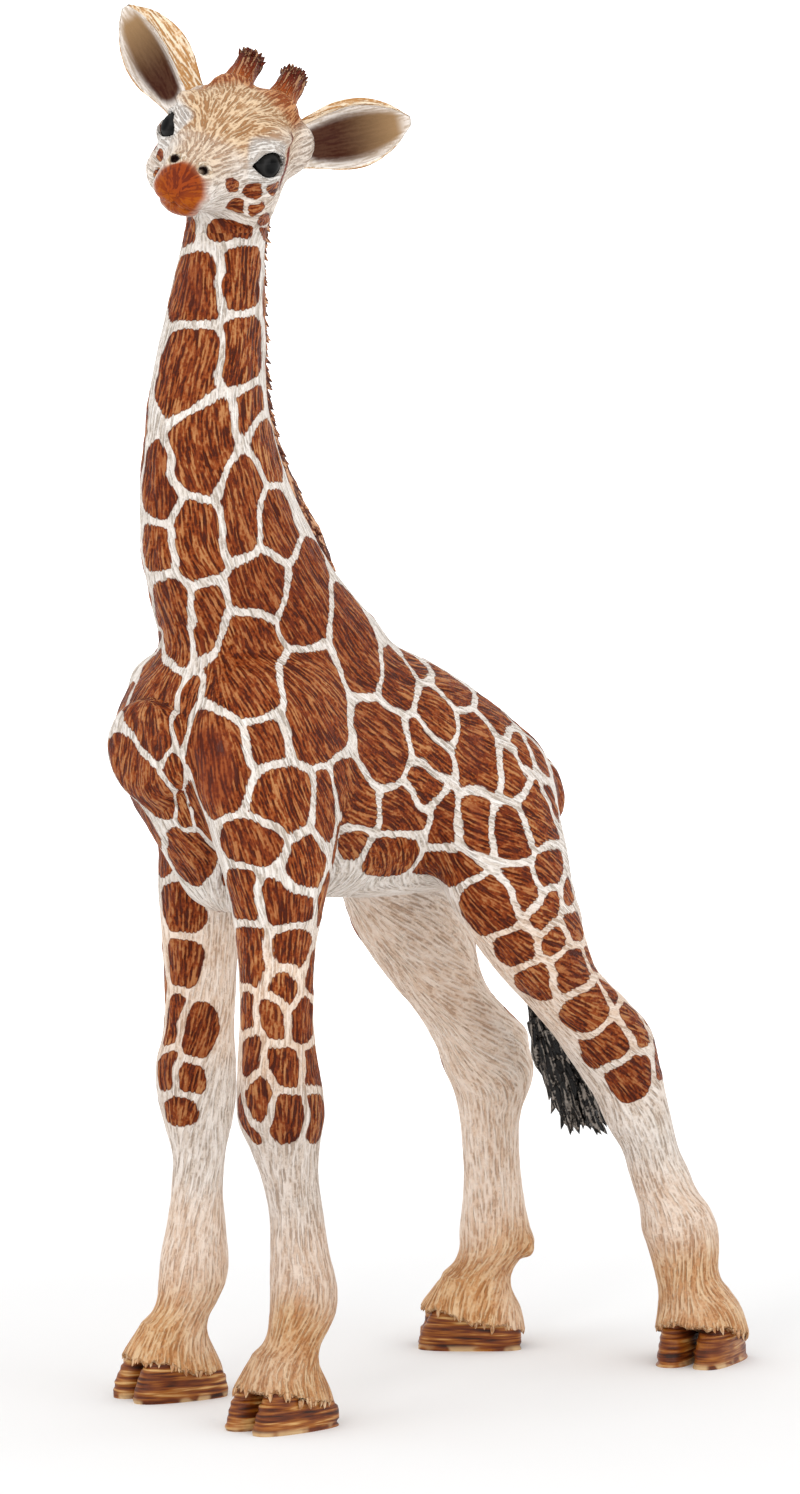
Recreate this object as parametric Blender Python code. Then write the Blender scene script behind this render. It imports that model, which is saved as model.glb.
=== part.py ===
"""Toy giraffe calf standing in mid-step, about 115 mm tall, moulded in solid plastic.

The trunk carries the neck and four legs on pegs that are glued into sockets. The head sits on the
neck's upper peg and carries the ears, the two horns and the glass-like eyes. Hooves are separate
shoes on the legs, the mane is a strip set in a groove along the neck, and the tail is a stem with
a tuft. Everything is in metres, +Z up, with the animal facing -Y and its left side towards +X.
"""

from math import cos, pi, radians, sin

import bmesh
import bpy
from mathutils import Matrix, Vector

# Paints: colour and roughness
PAINTS = {
    "coat": ((0.80, 0.66, 0.50), 0.5),
    "leg": ((0.78, 0.60, 0.44), 0.5),
    "face": ((0.76, 0.56, 0.38), 0.55),
    "ear": ((0.55, 0.42, 0.32), 0.6),
    "horn": ((0.22, 0.06, 0.03), 0.55),
    "mane": ((0.25, 0.07, 0.03), 0.6),
    "hoof": ((0.24, 0.12, 0.05), 0.45),
    "tuft": ((0.03, 0.03, 0.03), 0.7),
    "eye": ((0.01, 0.01, 0.012), 0.08),
}

# Overall sizes
LEG_LENGTH = 0.0425         # ground to the seam of a front leg, just under the elbow
TRUNK_LENGTH = 0.045        # breast to buttocks
TRUNK_WIDTH = 0.0186        # across the ribs
TRUNK_DEPTH = 0.022         # belly to the highest point of the withers
NECK_LENGTH = 0.0374        # base of the withers to the throat
NECK_THICKNESS = 0.0168     # the neck across its base, seen from the side
HEAD_LENGTH = 0.0195        # back of the skull to the tip of the nose
HEAD_WIDTH = 0.0108         # across the brows
HEAD_DEPTH = 0.0106         # crown to the underside of the jaw

# Fits between the pieces, which stay as they are when the figure grows
GLUE_GAP = 0.0003           # left for glue round every peg and under every seam
CUT_OVERRUN = 0.0006        # how far a cutter stands out of the face that it cuts

# Legs
FRONT_GIRTH = 0.0035        # radius of a front knee
HIND_GIRTH = 0.0042         # radius of a hock
FRONT_TRACK = 0.0085        # middle plane to the line of the front legs
HIND_TRACK = 0.0094
LEG_PEG_RADIUS = 0.0018
LEG_PEG_LENGTH = 0.003

# Hooves
HOOF_LENGTH = 0.0092
HOOF_WIDTH = 0.0066
HOOF_HEIGHT = 0.0028        # at the middle of the hoof
CORONET_ANGLE = radians(13)  # the hair line drops towards the heel
CLEFT_MOUTH = 0.001         # width of the cleft where it opens at the toe
CLEFT_END = 0.0002          # and where it runs out
CLEFT_DEPTH = 0.0036        # how far the cleft runs back from the toe
HOOF_PEG_RADIUS = 0.0014
HOOF_PEG_LENGTH = 0.0012

# Neck and mane
NECK_PEG_RADIUS = 0.003
NECK_PEG_LENGTH = 0.004
THROAT_PEG_RADIUS = 0.0013
THROAT_PEG_LENGTH = 0.0024
MANE_THICKNESS = 0.0019
MANE_HEIGHT = 0.0020        # how far the hair stands off the neck
MANE_ROOT = 0.0009          # depth of the groove that holds it
MANE_THIN_SHARE = 0.6       # least thickness, where the hair is lowest

# Head
HEAD_TURN_ANGLE = radians(33.4)  # towards the animal's left
HEAD_NOD_ANGLE = radians(-2.7)
HEAD_TILT_ANGLE = radians(20.3)  # the left ear is lower than the right
HEAD_SEAT = (0.0008, -0.0011, 0.0072)  # from the throat to the point midway between the eyes
EYE_RADIUS = 0.0017
EAR_LENGTH = 0.0104
EAR_WIDTH = 0.0058
EAR_CUP = 0.0019            # depth of the ear, back to rim
EAR_RIM_SHARE = 0.8         # width of the hollow as a share of the ear's
HORN_LENGTH = 0.0036
HORN_RADIUS = 0.0014

# Tail
TAIL_RADIUS = 0.0011
TUFT_LENGTH = 0.0118
TUFT_RADIUS = 0.0025
LOCK_SHARE = 0.14           # depth of the dips between the locks, of the tuft's radius
TAIL_PEG_RADIUS = 0.0006
TAIL_PEG_LENGTH = 0.0012

# Numbers of sides of the round sections
TRUNK_SIDES = 24
NECK_SIDES = 20
HEAD_SIDES = 20
LEG_SIDES = 14
SMALL_SIDES = 10
EYE_SIDES = 16
EYE_BANDS = 10
EAR_STEPS = 6               # across the back of an ear
CREASE_ANGLE = radians(50)  # edges sharper than this stay sharp

# Levels that several pieces share
BELLY_SHARE = 0.965         # of the leg's length
NECK_ROOT_SHARE = 0.864     # of the trunk's depth
BELLY_HEIGHT = LEG_LENGTH * BELLY_SHARE
NECK_ROOT_HEIGHT = BELLY_HEIGHT + TRUNK_DEPTH * NECK_ROOT_SHARE
BREAST_PLACE = -0.037       # foremost point of the breast, along Y
SEAM_HALF = GLUE_GAP / 2
FRONT_SEAM_SHARE = 1.0      # of the leg's length
HIND_SEAM_SHARE = 0.93

# Trunk sections, breast to buttocks: place along the trunk as a share of its length, half width
# as a share of half the trunk's width, top and underside as shares of its depth over the belly.
TRUNK_SHARES = (
    (0.000, 0.28, 0.74, 0.54),
    (0.045, 0.56, 0.87, 0.45),
    (0.133, 0.76, 1.02, 0.30),
    (0.244, 0.92, 1.08, 0.17),
    (0.378, 0.98, 1.08, 0.06),
    (0.511, 0.97, 1.02, 0.02),
    (0.644, 0.97, 0.93, 0.01),
    (0.756, 0.96, 0.81, 0.01),
    (0.844, 0.88, 0.68, 0.06),
    (0.933, 0.64, 0.52, 0.15),
    (1.000, 0.28, 0.38, 0.23),
)

# Neck sections, withers to skull: height as a share of the neck's length, place across and along
# and half depth as shares of the neck's thickness, half width as a share of the half depth. The
# first rows are moulded with the trunk and the last ones with the head.
NECK_SHARES = (
    (-0.160, 0.000, -1.190, 0.640, 0.62),
    (0.000, 0.000, -1.265, 0.615, 0.65),
    (0.115, 0.000, -1.345, 0.622, 0.65),
    (0.209, 0.000, -1.494, 0.552, 0.66),
    (0.299, 0.000, -1.600, 0.500, 0.68),
    (0.390, 0.000, -1.668, 0.442, 0.70),
    (0.433, 0.000, -1.697, 0.415, 0.72),
    (0.521, 0.000, -1.729, 0.366, 0.75),
    (0.610, 0.000, -1.748, 0.326, 0.78),
    (0.698, 0.000, -1.736, 0.296, 0.82),
    (0.783, 0.000, -1.704, 0.266, 0.87),
    (0.872, 0.000, -1.678, 0.238, 0.90),
    (0.957, 0.006, -1.650, 0.210, 0.93),
    (1.000, 0.012, -1.635, 0.202, 0.95),
    (1.055, 0.026, -1.625, 0.206, 0.95),
    (1.115, 0.030, -1.605, 0.216, 0.95),
    (1.190, 0.010, -1.560, 0.190, 0.95),
)
NECK_SEAM_ROW = 3           # the section where the neck meets the trunk
THROAT_SEAM_ROW = 13        # the section where the head meets the neck

# Leg sections, seam to hair line: height and place along Y as shares of the leg's length, radius as
# a share of the leg's girth. Places are measured from the seam, so a leg hangs from its shoulder.
LEFT_FRONT_SHARES = (
    (1.000, 0.000, 1.06),
    (0.930, -0.002, 0.92),
    (0.830, -0.002, 0.86),
    (0.770, -0.002, 0.87),
    (0.715, 0.000, 0.92),
    (0.656, 0.006, 1.00),
    (0.598, 0.009, 1.00),
    (0.539, 0.019, 0.80),
    (0.478, 0.033, 0.66),
    (0.419, 0.047, 0.63),
    (0.339, 0.056, 0.66),
    (0.261, 0.067, 0.79),
    (0.221, 0.068, 0.83),
    (0.184, 0.056, 0.82),
    (0.148, 0.038, 0.77),
    (0.115, 0.018, 0.82),
    (0.085, 0.012, 0.96),
)
RIGHT_FRONT_SHARES = (
    (1.000, 0.000, 0.95),
    (0.930, 0.004, 0.93),
    (0.830, 0.005, 0.86),
    (0.770, 0.005, 0.83),
    (0.710, 0.000, 0.84),
    (0.654, -0.007, 0.94),
    (0.595, -0.006, 0.94),
    (0.530, -0.002, 0.80),
    (0.478, 0.000, 0.64),
    (0.398, -0.005, 0.62),
    (0.320, -0.008, 0.71),
    (0.262, -0.013, 0.81),
    (0.222, -0.018, 0.83),
    (0.180, -0.030, 0.79),
    (0.148, -0.050, 0.77),
    (0.115, -0.070, 0.85),
    (0.085, -0.077, 0.96),
)
LEFT_HIND_SHARES = (
    (0.930, 0.000, 1.19),
    (0.873, 0.033, 1.08),
    (0.819, 0.073, 0.98),
    (0.760, 0.141, 1.00),
    (0.692, 0.214, 1.00),
    (0.628, 0.254, 0.88),
    (0.565, 0.289, 0.74),
    (0.480, 0.329, 0.64),
    (0.438, 0.353, 0.57),
    (0.395, 0.374, 0.60),
    (0.353, 0.395, 0.62),
    (0.311, 0.421, 0.71),
    (0.271, 0.433, 0.76),
    (0.228, 0.445, 0.71),
    (0.188, 0.452, 0.65),
    (0.146, 0.466, 0.68),
    (0.115, 0.484, 0.80),
    (0.085, 0.493, 0.88),
)
RIGHT_HIND_SHARES = (
    (0.930, 0.000, 1.24),
    (0.854, 0.026, 1.17),
    (0.809, 0.052, 1.08),
    (0.769, 0.075, 0.98),
    (0.725, 0.108, 0.91),
    (0.680, 0.155, 0.91),
    (0.635, 0.200, 0.98),
    (0.593, 0.219, 0.93),
    (0.553, 0.233, 0.90),
    (0.511, 0.240, 0.77),
    (0.470, 0.236, 0.64),
    (0.390, 0.238, 0.57),
    (0.308, 0.245, 0.60),
    (0.268, 0.247, 0.65),
    (0.226, 0.249, 0.71),
    (0.186, 0.244, 0.68),
    (0.150, 0.216, 0.60),
    (0.115, 0.195, 0.66),
    (0.085, 0.180, 0.84),
)

# Upper legs, which belong to the trunk: height over the seam as a share of the trunk's depth, place
# across and along as shares of half its width and of its length, and radius as a share of the girth.
LEFT_SHOULDER_SHARES = (
    (0.00, 0.00, 0.000, 1.06),
    (0.07, -0.01, 0.002, 1.16),
    (0.16, -0.03, 0.007, 1.30),
    (0.25, -0.07, 0.011, 1.44),
    (0.35, -0.13, 0.016, 1.58),
    (0.44, -0.18, 0.020, 1.74),
    (0.54, -0.24, 0.027, 1.87),
    (0.63, -0.29, 0.031, 1.93),
    (0.72, -0.34, 0.038, 1.86),
    (0.82, -0.40, 0.051, 1.64),
    (0.91, -0.46, 0.060, 1.16),
    (0.98, -0.64, 0.060, 0.45),
)
RIGHT_SHOULDER_SHARES = (
    (0.00, 0.00, 0.000, 0.95),
    (0.06, -0.01, 0.000, 0.96),
    (0.16, -0.03, 0.003, 1.06),
    (0.26, -0.06, -0.011, 1.26),
    (0.37, -0.11, -0.044, 1.41),
    (0.47, -0.16, -0.069, 1.55),
    (0.58, -0.21, -0.091, 1.60),
    (0.67, -0.25, -0.091, 1.50),
    (0.77, -0.29, -0.087, 1.36),
    (0.87, -0.34, -0.089, 1.12),
    (0.96, -0.54, -0.078, 0.50),
)
LEFT_THIGH_SHARES = (
    (0.00, 0.00, 0.000, 1.19),
    (0.10, -0.06, -0.016, 1.28),
    (0.20, -0.13, -0.020, 1.32),
    (0.29, -0.19, -0.024, 1.35),
    (0.39, -0.26, -0.024, 1.33),
    (0.48, -0.32, -0.020, 1.27),
    (0.57, -0.39, -0.009, 1.12),
    (0.66, -0.46, 0.000, 0.84),
    (0.73, -0.58, 0.000, 0.36),
)
RIGHT_THIGH_SHARES = (
    (0.00, 0.00, 0.000, 1.24),
    (0.10, -0.06, -0.030, 1.30),
    (0.20, -0.13, -0.050, 1.34),
    (0.29, -0.19, -0.070, 1.36),
    (0.39, -0.26, -0.085, 1.33),
    (0.48, -0.32, -0.090, 1.25),
    (0.57, -0.39, -0.080, 1.10),
    (0.66, -0.46, -0.070, 0.84),
    (0.73, -0.58, -0.070, 0.36),
)
SHOULDER_FLAT_SHARE = 0.4   # of the trunk's depth over the seam, where a shoulder is flattest
HOCK_SHARE = 0.69           # of the leg's length: a thigh flattens from here up to its seam

# Half widths of a leg's sections as shares of their radius: across and along, what each loses or
# gains where the leg is flattest, and both at the hair line over the hoof.
ACROSS_SHARE = 0.94
ALONG_SHARE = 1.05
FLAT_LOSS_SHARE = 0.20
FLAT_GAIN_SHARE = 0.12
CORONET_ACROSS_SHARE = 0.92
CORONET_ALONG_SHARE = 1.16

# The four legs: side of the body, place of the seam along the trunk as a share of its length, and
# the turn of the hoof outwards.
LEGS = {
    "front_left": (1, 0.167, radians(2)),
    "front_right": (-1, 0.316, radians(10)),
    "hind_left": (1, 0.756, radians(27)),
    "hind_right": (-1, 0.850, radians(43)),
}
LEG_SHARES = {
    "front_left": LEFT_FRONT_SHARES,
    "front_right": RIGHT_FRONT_SHARES,
    "hind_left": LEFT_HIND_SHARES,
    "hind_right": RIGHT_HIND_SHARES,
}
UPPER_SHARES = {
    "front_left": LEFT_SHOULDER_SHARES,
    "front_right": RIGHT_SHOULDER_SHARES,
    "hind_left": LEFT_THIGH_SHARES,
    "hind_right": RIGHT_THIGH_SHARES,
}

# Hoof sections, sole to hair line: height, length, width and shift towards the heel as shares.
HOOF_SHARES = (
    (0.00, 1.00, 1.00, 0.00),
    (0.30, 0.99, 1.00, 0.005),
    (0.70, 0.92, 0.96, 0.02),
    (1.00, 0.82, 0.90, 0.04),
)

# Head sections, back of the skull to the nose: place as a share of the head's length from the eyes
# (forwards is negative), half width as a share of half the head's width, crown and jaw as shares of
# the head's depth over the line of the eyes.
HEAD_SHARES = (
    (0.385, 0.45, 0.16, -0.22),
    (0.335, 0.70, 0.33, -0.36),
    (0.205, 0.98, 0.43, -0.55),
    (0.075, 1.00, 0.44, -0.59),
    (-0.050, 0.96, 0.36, -0.55),
    (-0.165, 0.80, 0.24, -0.54),
    (-0.280, 0.62, 0.09, -0.54),
    (-0.390, 0.51, -0.04, -0.56),
    (-0.465, 0.45, -0.12, -0.57),
    (-0.520, 0.34, -0.20, -0.52),
    (-0.550, 0.20, -0.29, -0.43),
)
# Places on the head as shares of half its width, its length and its depth.
EYE_SHARES = (0.64, -0.075, -0.03)
EAR_SHARES = (0.80, 0.265, 0.10)
HORN_SHARES = (0.36, 0.225, 0.34)
EAR_LEAN = Vector((0.82, 0.14, 0.55))
HORN_LEAN = Vector((0.0, 0.54, 0.84))

# Ear sections, root to tip: place along the ear, half width, back and hollow as shares of the ear's
# length, half its width and its cup. A negative hollow is a rounded front.
EAR_SECTION_SHARES = (
    (-0.14, 0.34, 0.45, -0.45),
    (0.00, 0.60, 0.62, -0.45),
    (0.12, 0.68, 0.68, -0.30),
    (0.24, 0.80, 0.80, 0.10),
    (0.38, 0.95, 0.95, 0.50),
    (0.54, 1.00, 1.00, 0.62),
    (0.70, 0.88, 0.85, 0.48),
    (0.85, 0.60, 0.58, 0.22),
    (0.95, 0.30, 0.34, 0.06),
    (1.00, 0.12, 0.16, -0.10),
)
# Horn sections, root to tip: place along the horn and radius as shares.
HORN_SECTION_SHARES = (
    (-0.16, 1.05),
    (0.20, 0.95),
    (0.55, 0.80),
    (0.80, 0.78),
    (0.93, 0.72),
    (1.00, 0.50),
)

# Tail: height as a share of the leg's length, place along the trunk as a share of its length, and
# radius as a share of the stem's.
STEM_SHARES = (
    (1.165, 0.925, 1.15),
    (1.110, 1.000, 1.10),
    (1.020, 1.020, 0.95),
    (0.900, 1.018, 0.85),
    (0.800, 1.008, 0.78),
    (0.722, 1.000, 0.75),
)
# Tuft: place along and away from the stem as shares of the tuft's length, radius of its own.
TUFT_SHARES = (
    (0.00, 0.000, 0.42),
    (0.08, 0.020, 0.66),
    (0.24, 0.130, 0.92),
    (0.45, 0.240, 1.00),
    (0.65, 0.320, 0.94),
    (0.82, 0.390, 0.74),
    (0.95, 0.425, 0.46),
    (1.00, 0.435, 0.22),
)

# Mane: rows along the neck as shares of its length, and the hair's height as a share of the mane's.
MANE_SHARES = (
    (0.212, 0.10),
    (0.245, 0.62),
    (0.300, 0.92),
    (0.345, 0.74),
    (0.400, 1.00),
    (0.450, 0.80),
    (0.510, 1.00),
    (0.560, 0.80),
    (0.620, 1.00),
    (0.680, 0.80),
    (0.740, 0.98),
    (0.800, 0.78),
    (0.860, 0.92),
    (0.920, 0.74),
    (0.980, 0.90),
    (1.035, 0.74),
    (1.090, 0.70),
    (1.140, 0.30),
)


def material(name, paint):
    """One piece's painted plastic finish."""
    colour, roughness = PAINTS[paint]
    made = bpy.data.materials.new(name)
    made.use_nodes = True
    shader = made.node_tree.nodes["Principled BSDF"]
    shader.inputs["Base Color"].default_value = (*colour, 1.0)
    shader.inputs["Roughness"].default_value = roughness
    shader.inputs["Metallic"].default_value = 0.0
    return made


def ring(centre, side, up, half_side, half_up, sides):
    """Points of an ellipse round a centre, in the plane of two unit directions."""
    turn = 2 * pi / sides
    angles = [turn * (step + 0.5) for step in range(sides)]
    return [centre + side * (half_side * cos(a)) + up * (half_up * sin(a)) for a in angles]


def loft(rings):
    """A closed skin through rings with the same number of points."""
    skin = bmesh.new()
    loops = [[skin.verts.new(point) for point in one] for one in rings]
    count = len(loops[0])
    for low, high in zip(loops, loops[1:]):
        for step in range(count):
            after = (step + 1) % count
            skin.faces.new((low[step], low[after], high[after], high[step]))
    skin.faces.new(loops[0])
    skin.faces.new(loops[-1])
    bmesh.ops.recalc_face_normals(skin, faces=skin.faces)
    return skin


def peg(base, axis, radius, length):
    """A round peg that starts at base and runs along axis."""
    skin = bmesh.new()
    bmesh.ops.create_cone(
        skin, cap_ends=True, segments=SMALL_SIDES, radius1=radius, radius2=radius, depth=length
    )
    turn = axis.to_track_quat("Z", "Y").to_matrix().to_4x4()
    place = Matrix.Translation(base + axis * (length / 2)) @ turn
    bmesh.ops.transform(skin, matrix=place, verts=skin.verts)
    return skin


def piece(name, skin, parent, paint=None):
    """An object of the given skin, smooth where it is round."""
    mesh = bpy.data.meshes.new(name)
    skin.to_mesh(mesh)
    skin.free()
    mesh.shade_smooth()
    mesh.set_sharp_from_angle(angle=CREASE_ANGLE)
    made = bpy.data.objects.new(name, mesh)
    if paint:
        mesh.materials.append(material(name + "_paint", paint))
    bpy.context.scene.collection.objects.link(made)
    made.parent = parent
    return made


def guide(name, skin, parent):
    """A helper shape that other pieces are joined with or cut by."""
    made = piece(name, skin, parent)
    made.hide_render = True
    made.display_type = "WIRE"
    return made


def change(target, helper, operation):
    """Join a helper to a piece, or cut it out of the piece."""
    step = target.modifiers.new(helper.name, "BOOLEAN")
    step.operation = operation
    step.solver = "EXACT"
    step.object = helper


def seat(name, carrier, holder, base, axis, radius, length, parent):
    """Give carrier a peg from base along axis, and holder the socket that it is glued into."""
    overrun = CUT_OVERRUN + SEAM_HALF
    pin = peg(base - axis * overrun, axis, radius, length + overrun)
    change(carrier, guide(name + "_peg", pin, parent), "UNION")
    hole = peg(base - axis * overrun, axis, radius + GLUE_GAP, length + overrun + GLUE_GAP)
    change(holder, guide(name + "_socket", hole, parent), "DIFFERENCE")


X = Vector((1.0, 0.0, 0.0))
Y = Vector((0.0, 1.0, 0.0))
Z = Vector((0.0, 0.0, 1.0))


def along_trunk(share):
    """Place along Y of a share of the trunk's length."""
    return BREAST_PLACE + TRUNK_LENGTH * share


def trunk_skin():
    """The barrel of the body, lofted from breast to buttocks."""
    rings = []
    for along, half, top, under in TRUNK_SHARES:
        middle = BELLY_HEIGHT + TRUNK_DEPTH * (top + under) / 2
        centre = Vector((0.0, along_trunk(along), middle))
        high = TRUNK_DEPTH * (top - under) / 2
        rings.append(ring(centre, X, Z, TRUNK_WIDTH / 2 * half, high, TRUNK_SIDES))
    return loft(rings)


def neck_ring(row, lift=0.0):
    """One section of the neck, moved up by lift."""
    centre, half_deep = neck_centre(row)
    return ring(centre + Z * lift, X, Y, half_deep * row[4], half_deep, NECK_SIDES)


def neck_centre(row):
    """Centre and half depth of one section of the neck."""
    height, across, along, deep, _ = row
    level = NECK_ROOT_HEIGHT + NECK_LENGTH * height
    return Vector((NECK_THICKNESS * across, NECK_THICKNESS * along, level)), NECK_THICKNESS * deep


def neck_place(share):
    """Centre and half depth of the neck at a share of its length."""
    rows = list(zip(NECK_SHARES, NECK_SHARES[1:]))
    low, high = next(pair for pair in rows if share <= pair[1][0])
    part = (share - low[0]) / (high[0] - low[0])
    start, start_deep = neck_centre(low)
    end, end_deep = neck_centre(high)
    return start.lerp(end, part), start_deep + (end_deep - start_deep) * part


def leg_seam(leg):
    """Centre of the seam between a leg and the trunk."""
    side, share, _ = LEGS[leg]
    track = FRONT_TRACK if leg.startswith("front") else HIND_TRACK
    seam = FRONT_SEAM_SHARE if leg.startswith("front") else HIND_SEAM_SHARE
    return Vector((side * track, along_trunk(share), LEG_LENGTH * seam))


def leg_girth(leg):
    """Radius of a front knee or a hock."""
    return FRONT_GIRTH if leg.startswith("front") else HIND_GIRTH


def hoof_frame(leg):
    """Ground point under the middle of a hoof, and the directions of its side and its heel."""
    side, _, turn = LEGS[leg]
    last = LEG_SHARES[leg][-1]
    seam = leg_seam(leg)
    toe_out = Matrix.Rotation(side * turn, 3, "Z")
    ground = Vector((seam.x, seam.y + LEG_LENGTH * last[1], 0.0))
    return ground, toe_out @ X, toe_out @ Y


def coronet(leg):
    """Centre, side and heel direction, and axis of the sloping hair line over a hoof."""
    ground, side, heel = hoof_frame(leg)
    slope = (heel * cos(CORONET_ANGLE) - Z * sin(CORONET_ANGLE)).normalized()
    return ground + Z * HOOF_HEIGHT, side, slope, side.cross(slope)


def leg_ring(centre, radius, flat):
    """A level section of a leg, deeper than wide, and more so where flat nears 1."""
    across = radius * (ACROSS_SHARE - FLAT_LOSS_SHARE * flat)
    along = radius * (ALONG_SHARE + FLAT_GAIN_SHARE * flat)
    return ring(centre, X, Y, across, along, LEG_SIDES)


def leg_skin(leg):
    """A leg from its seam to the hair line over the hoof."""
    seam = leg_seam(leg)
    girth = leg_girth(leg)
    rings = []
    for height, place, radius in LEG_SHARES[leg][:-1]:
        centre = Vector((seam.x, seam.y + LEG_LENGTH * place, LEG_LENGTH * height))
        if not rings:
            centre.z -= SEAM_HALF
        flat = 0.0
        if leg.startswith("hind"):
            flat = max(0.0, (height - HOCK_SHARE) / (HIND_SEAM_SHARE - HOCK_SHARE))
        rings.append(leg_ring(centre, girth * radius, flat))
    centre, side, slope, axis = coronet(leg)
    radius = girth * LEG_SHARES[leg][-1][2]
    base = centre + axis * SEAM_HALF
    across = radius * CORONET_ACROSS_SHARE
    along = radius * CORONET_ALONG_SHARE
    rings.append(ring(base, side, slope, across, along, LEG_SIDES))
    return loft(rings)


def upper_leg_skin(leg):
    """The shoulder or thigh over a leg, which is moulded in one with the trunk."""
    seam = leg_seam(leg)
    side = LEGS[leg][0]
    girth = leg_girth(leg)
    rings = []
    for height, across, along, radius in UPPER_SHARES[leg]:
        centre = seam + Vector((side * TRUNK_WIDTH / 2 * across, TRUNK_LENGTH * along, 0.0))
        centre.z += TRUNK_DEPTH * height
        if not rings:
            centre.z += SEAM_HALF
        flat = 1.0
        if leg.startswith("front"):
            flat = min(height / SHOULDER_FLAT_SHARE, 1.0)
        rings.append(leg_ring(centre, girth * radius, flat))
    return loft(rings)


def hoof_skin(leg):
    """A hoof with a flat sole, without its cleft."""
    ground, side, heel = hoof_frame(leg)
    top, _, slope, axis = coronet(leg)
    rings = []
    for height, length, width, back in HOOF_SHARES:
        lean = heel.lerp(slope, height)
        centre = ground.lerp(top - axis * SEAM_HALF, height) + lean * (HOOF_LENGTH * back)
        if height == 0:
            lean = heel
        half_length = HOOF_LENGTH / 2 * length
        rings.append(ring(centre, side, lean, HOOF_WIDTH / 2 * width, half_length, LEG_SIDES))
    return loft(rings)


def cleft_skin(leg):
    """A thin upright wedge that parts the toes."""
    ground, side, heel = hoof_frame(leg)
    reach = HOOF_LENGTH / 2 + CUT_OVERRUN
    tall = HOOF_HEIGHT + HOOF_LENGTH / 2 * sin(CORONET_ANGLE) + CUT_OVERRUN
    end = HOOF_LENGTH / 2 - CLEFT_DEPTH
    rings = []
    mouth = side * (CLEFT_MOUTH / 2)
    close = side * (CLEFT_END / 2)
    for level in (-CUT_OVERRUN, tall):
        front = ground - heel * reach + Z * level
        back = ground - heel * end + Z * level
        rings.append([front - mouth, front + mouth, back + close, back - close])
    return loft(rings)


def head_point(shares):
    """A place on the head, in the head's own frame."""
    across, back, up = shares
    return Vector((HEAD_WIDTH / 2 * across, HEAD_LENGTH * back, HEAD_DEPTH * up))


def head_skin():
    """Skull and muzzle, lofted from back to front in the head's own frame."""
    rings = []
    for back, half, crown, jaw in HEAD_SHARES:
        centre = Vector((0.0, HEAD_LENGTH * back, HEAD_DEPTH * (crown + jaw) / 2))
        high = HEAD_DEPTH * (crown - jaw) / 2
        rings.append(ring(centre, X, Z, HEAD_WIDTH / 2 * half, high, HEAD_SIDES))
    return loft(rings)


def throat_skin():
    """The short throat under the head, from the seam with the neck."""
    rings = [neck_ring(NECK_SHARES[THROAT_SEAM_ROW], SEAM_HALF)]
    rings += [neck_ring(row) for row in NECK_SHARES[THROAT_SEAM_ROW + 1:]]
    return loft(rings)


def set_in(name, rings, holder, parent, paint):
    """A piece whose root is set in the holder, with a glue gap all round it."""
    made = piece(name, loft(rings), parent, paint)
    cutter = guide(name + "_seat", loft(grown(rings, GLUE_GAP)), parent)
    for one in holder:
        change(one, cutter, "DIFFERENCE")
    return made


def mirrored(vector, side):
    """A place of the left half, or its mirror image on the right."""
    return Vector((vector.x * side, vector.y, vector.z))


def grown(rings, clearance):
    """The same rings made larger all round, to cut the place that a piece is set in."""
    middles = [sum(points, Vector()) / len(points) for points in rings]
    out = []
    for middle, points in zip(middles, rings):
        out.append([point + (point - middle).normalized() * clearance for point in points])
    for end, inner in ((0, 1), (-1, -2)):
        beyond = (middles[end] - middles[inner]).normalized() * clearance
        out[end] = [point + beyond for point in out[end]]
    return out


def ear_rings(side):
    """A cupped leaf on a short round root, open to the front."""
    lean = EAR_LEAN.normalized()
    across = lean.cross(Y).normalized()
    face = lean.cross(across)
    root = head_point(EAR_SHARES)
    angles = [pi * step / EAR_STEPS for step in range(EAR_STEPS + 1)]
    rings = []
    for along, half, back, hollow in EAR_SECTION_SHARES:
        centre = root + lean * (EAR_LENGTH * along)
        wide = across * (EAR_WIDTH / 2 * half)
        outer = face * (EAR_CUP * -back)
        inner = face * (EAR_CUP * -hollow)
        rim = wide * EAR_RIM_SHARE
        points = [centre + wide * cos(a) + outer * sin(a) for a in angles]
        points += [centre + rim * cos(a) + inner * sin(a) for a in reversed(angles[1:-1])]
        rings.append([mirrored(point, side) for point in points])
    return rings


def horn_rings(side):
    """A short blunt horn, set in the skull by its wider root."""
    lean = HORN_LEAN.normalized()
    forward = X.cross(lean)
    root = head_point(HORN_SHARES)
    rings = []
    for along, radius in HORN_SECTION_SHARES:
        centre = root + lean * (HORN_LENGTH * along)
        half = HORN_RADIUS * radius
        points = ring(centre, X, forward, half, half, SMALL_SIDES)
        rings.append([mirrored(point, side) for point in points])
    return rings


def ball(centre, radius):
    """A round eye, or the hollow that it is pressed into."""
    skin = bmesh.new()
    bmesh.ops.create_uvsphere(skin, u_segments=EYE_SIDES, v_segments=EYE_BANDS, radius=radius)
    bmesh.ops.translate(skin, verts=skin.verts, vec=centre)
    return skin


def mane_rings():
    """The strip of hair along the back of the neck, with its root set in a groove."""
    rings = []
    for share, height in MANE_SHARES:
        centre, half_deep = neck_place(share)
        high = (MANE_ROOT + MANE_HEIGHT * height) / 2
        centre += Y * (half_deep - MANE_ROOT + high)
        thick = MANE_THIN_SHARE + (1 - MANE_THIN_SHARE) * height
        rings.append(ring(centre, X, Y, MANE_THICKNESS / 2 * thick, high, SMALL_SIDES))
    return rings


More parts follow.
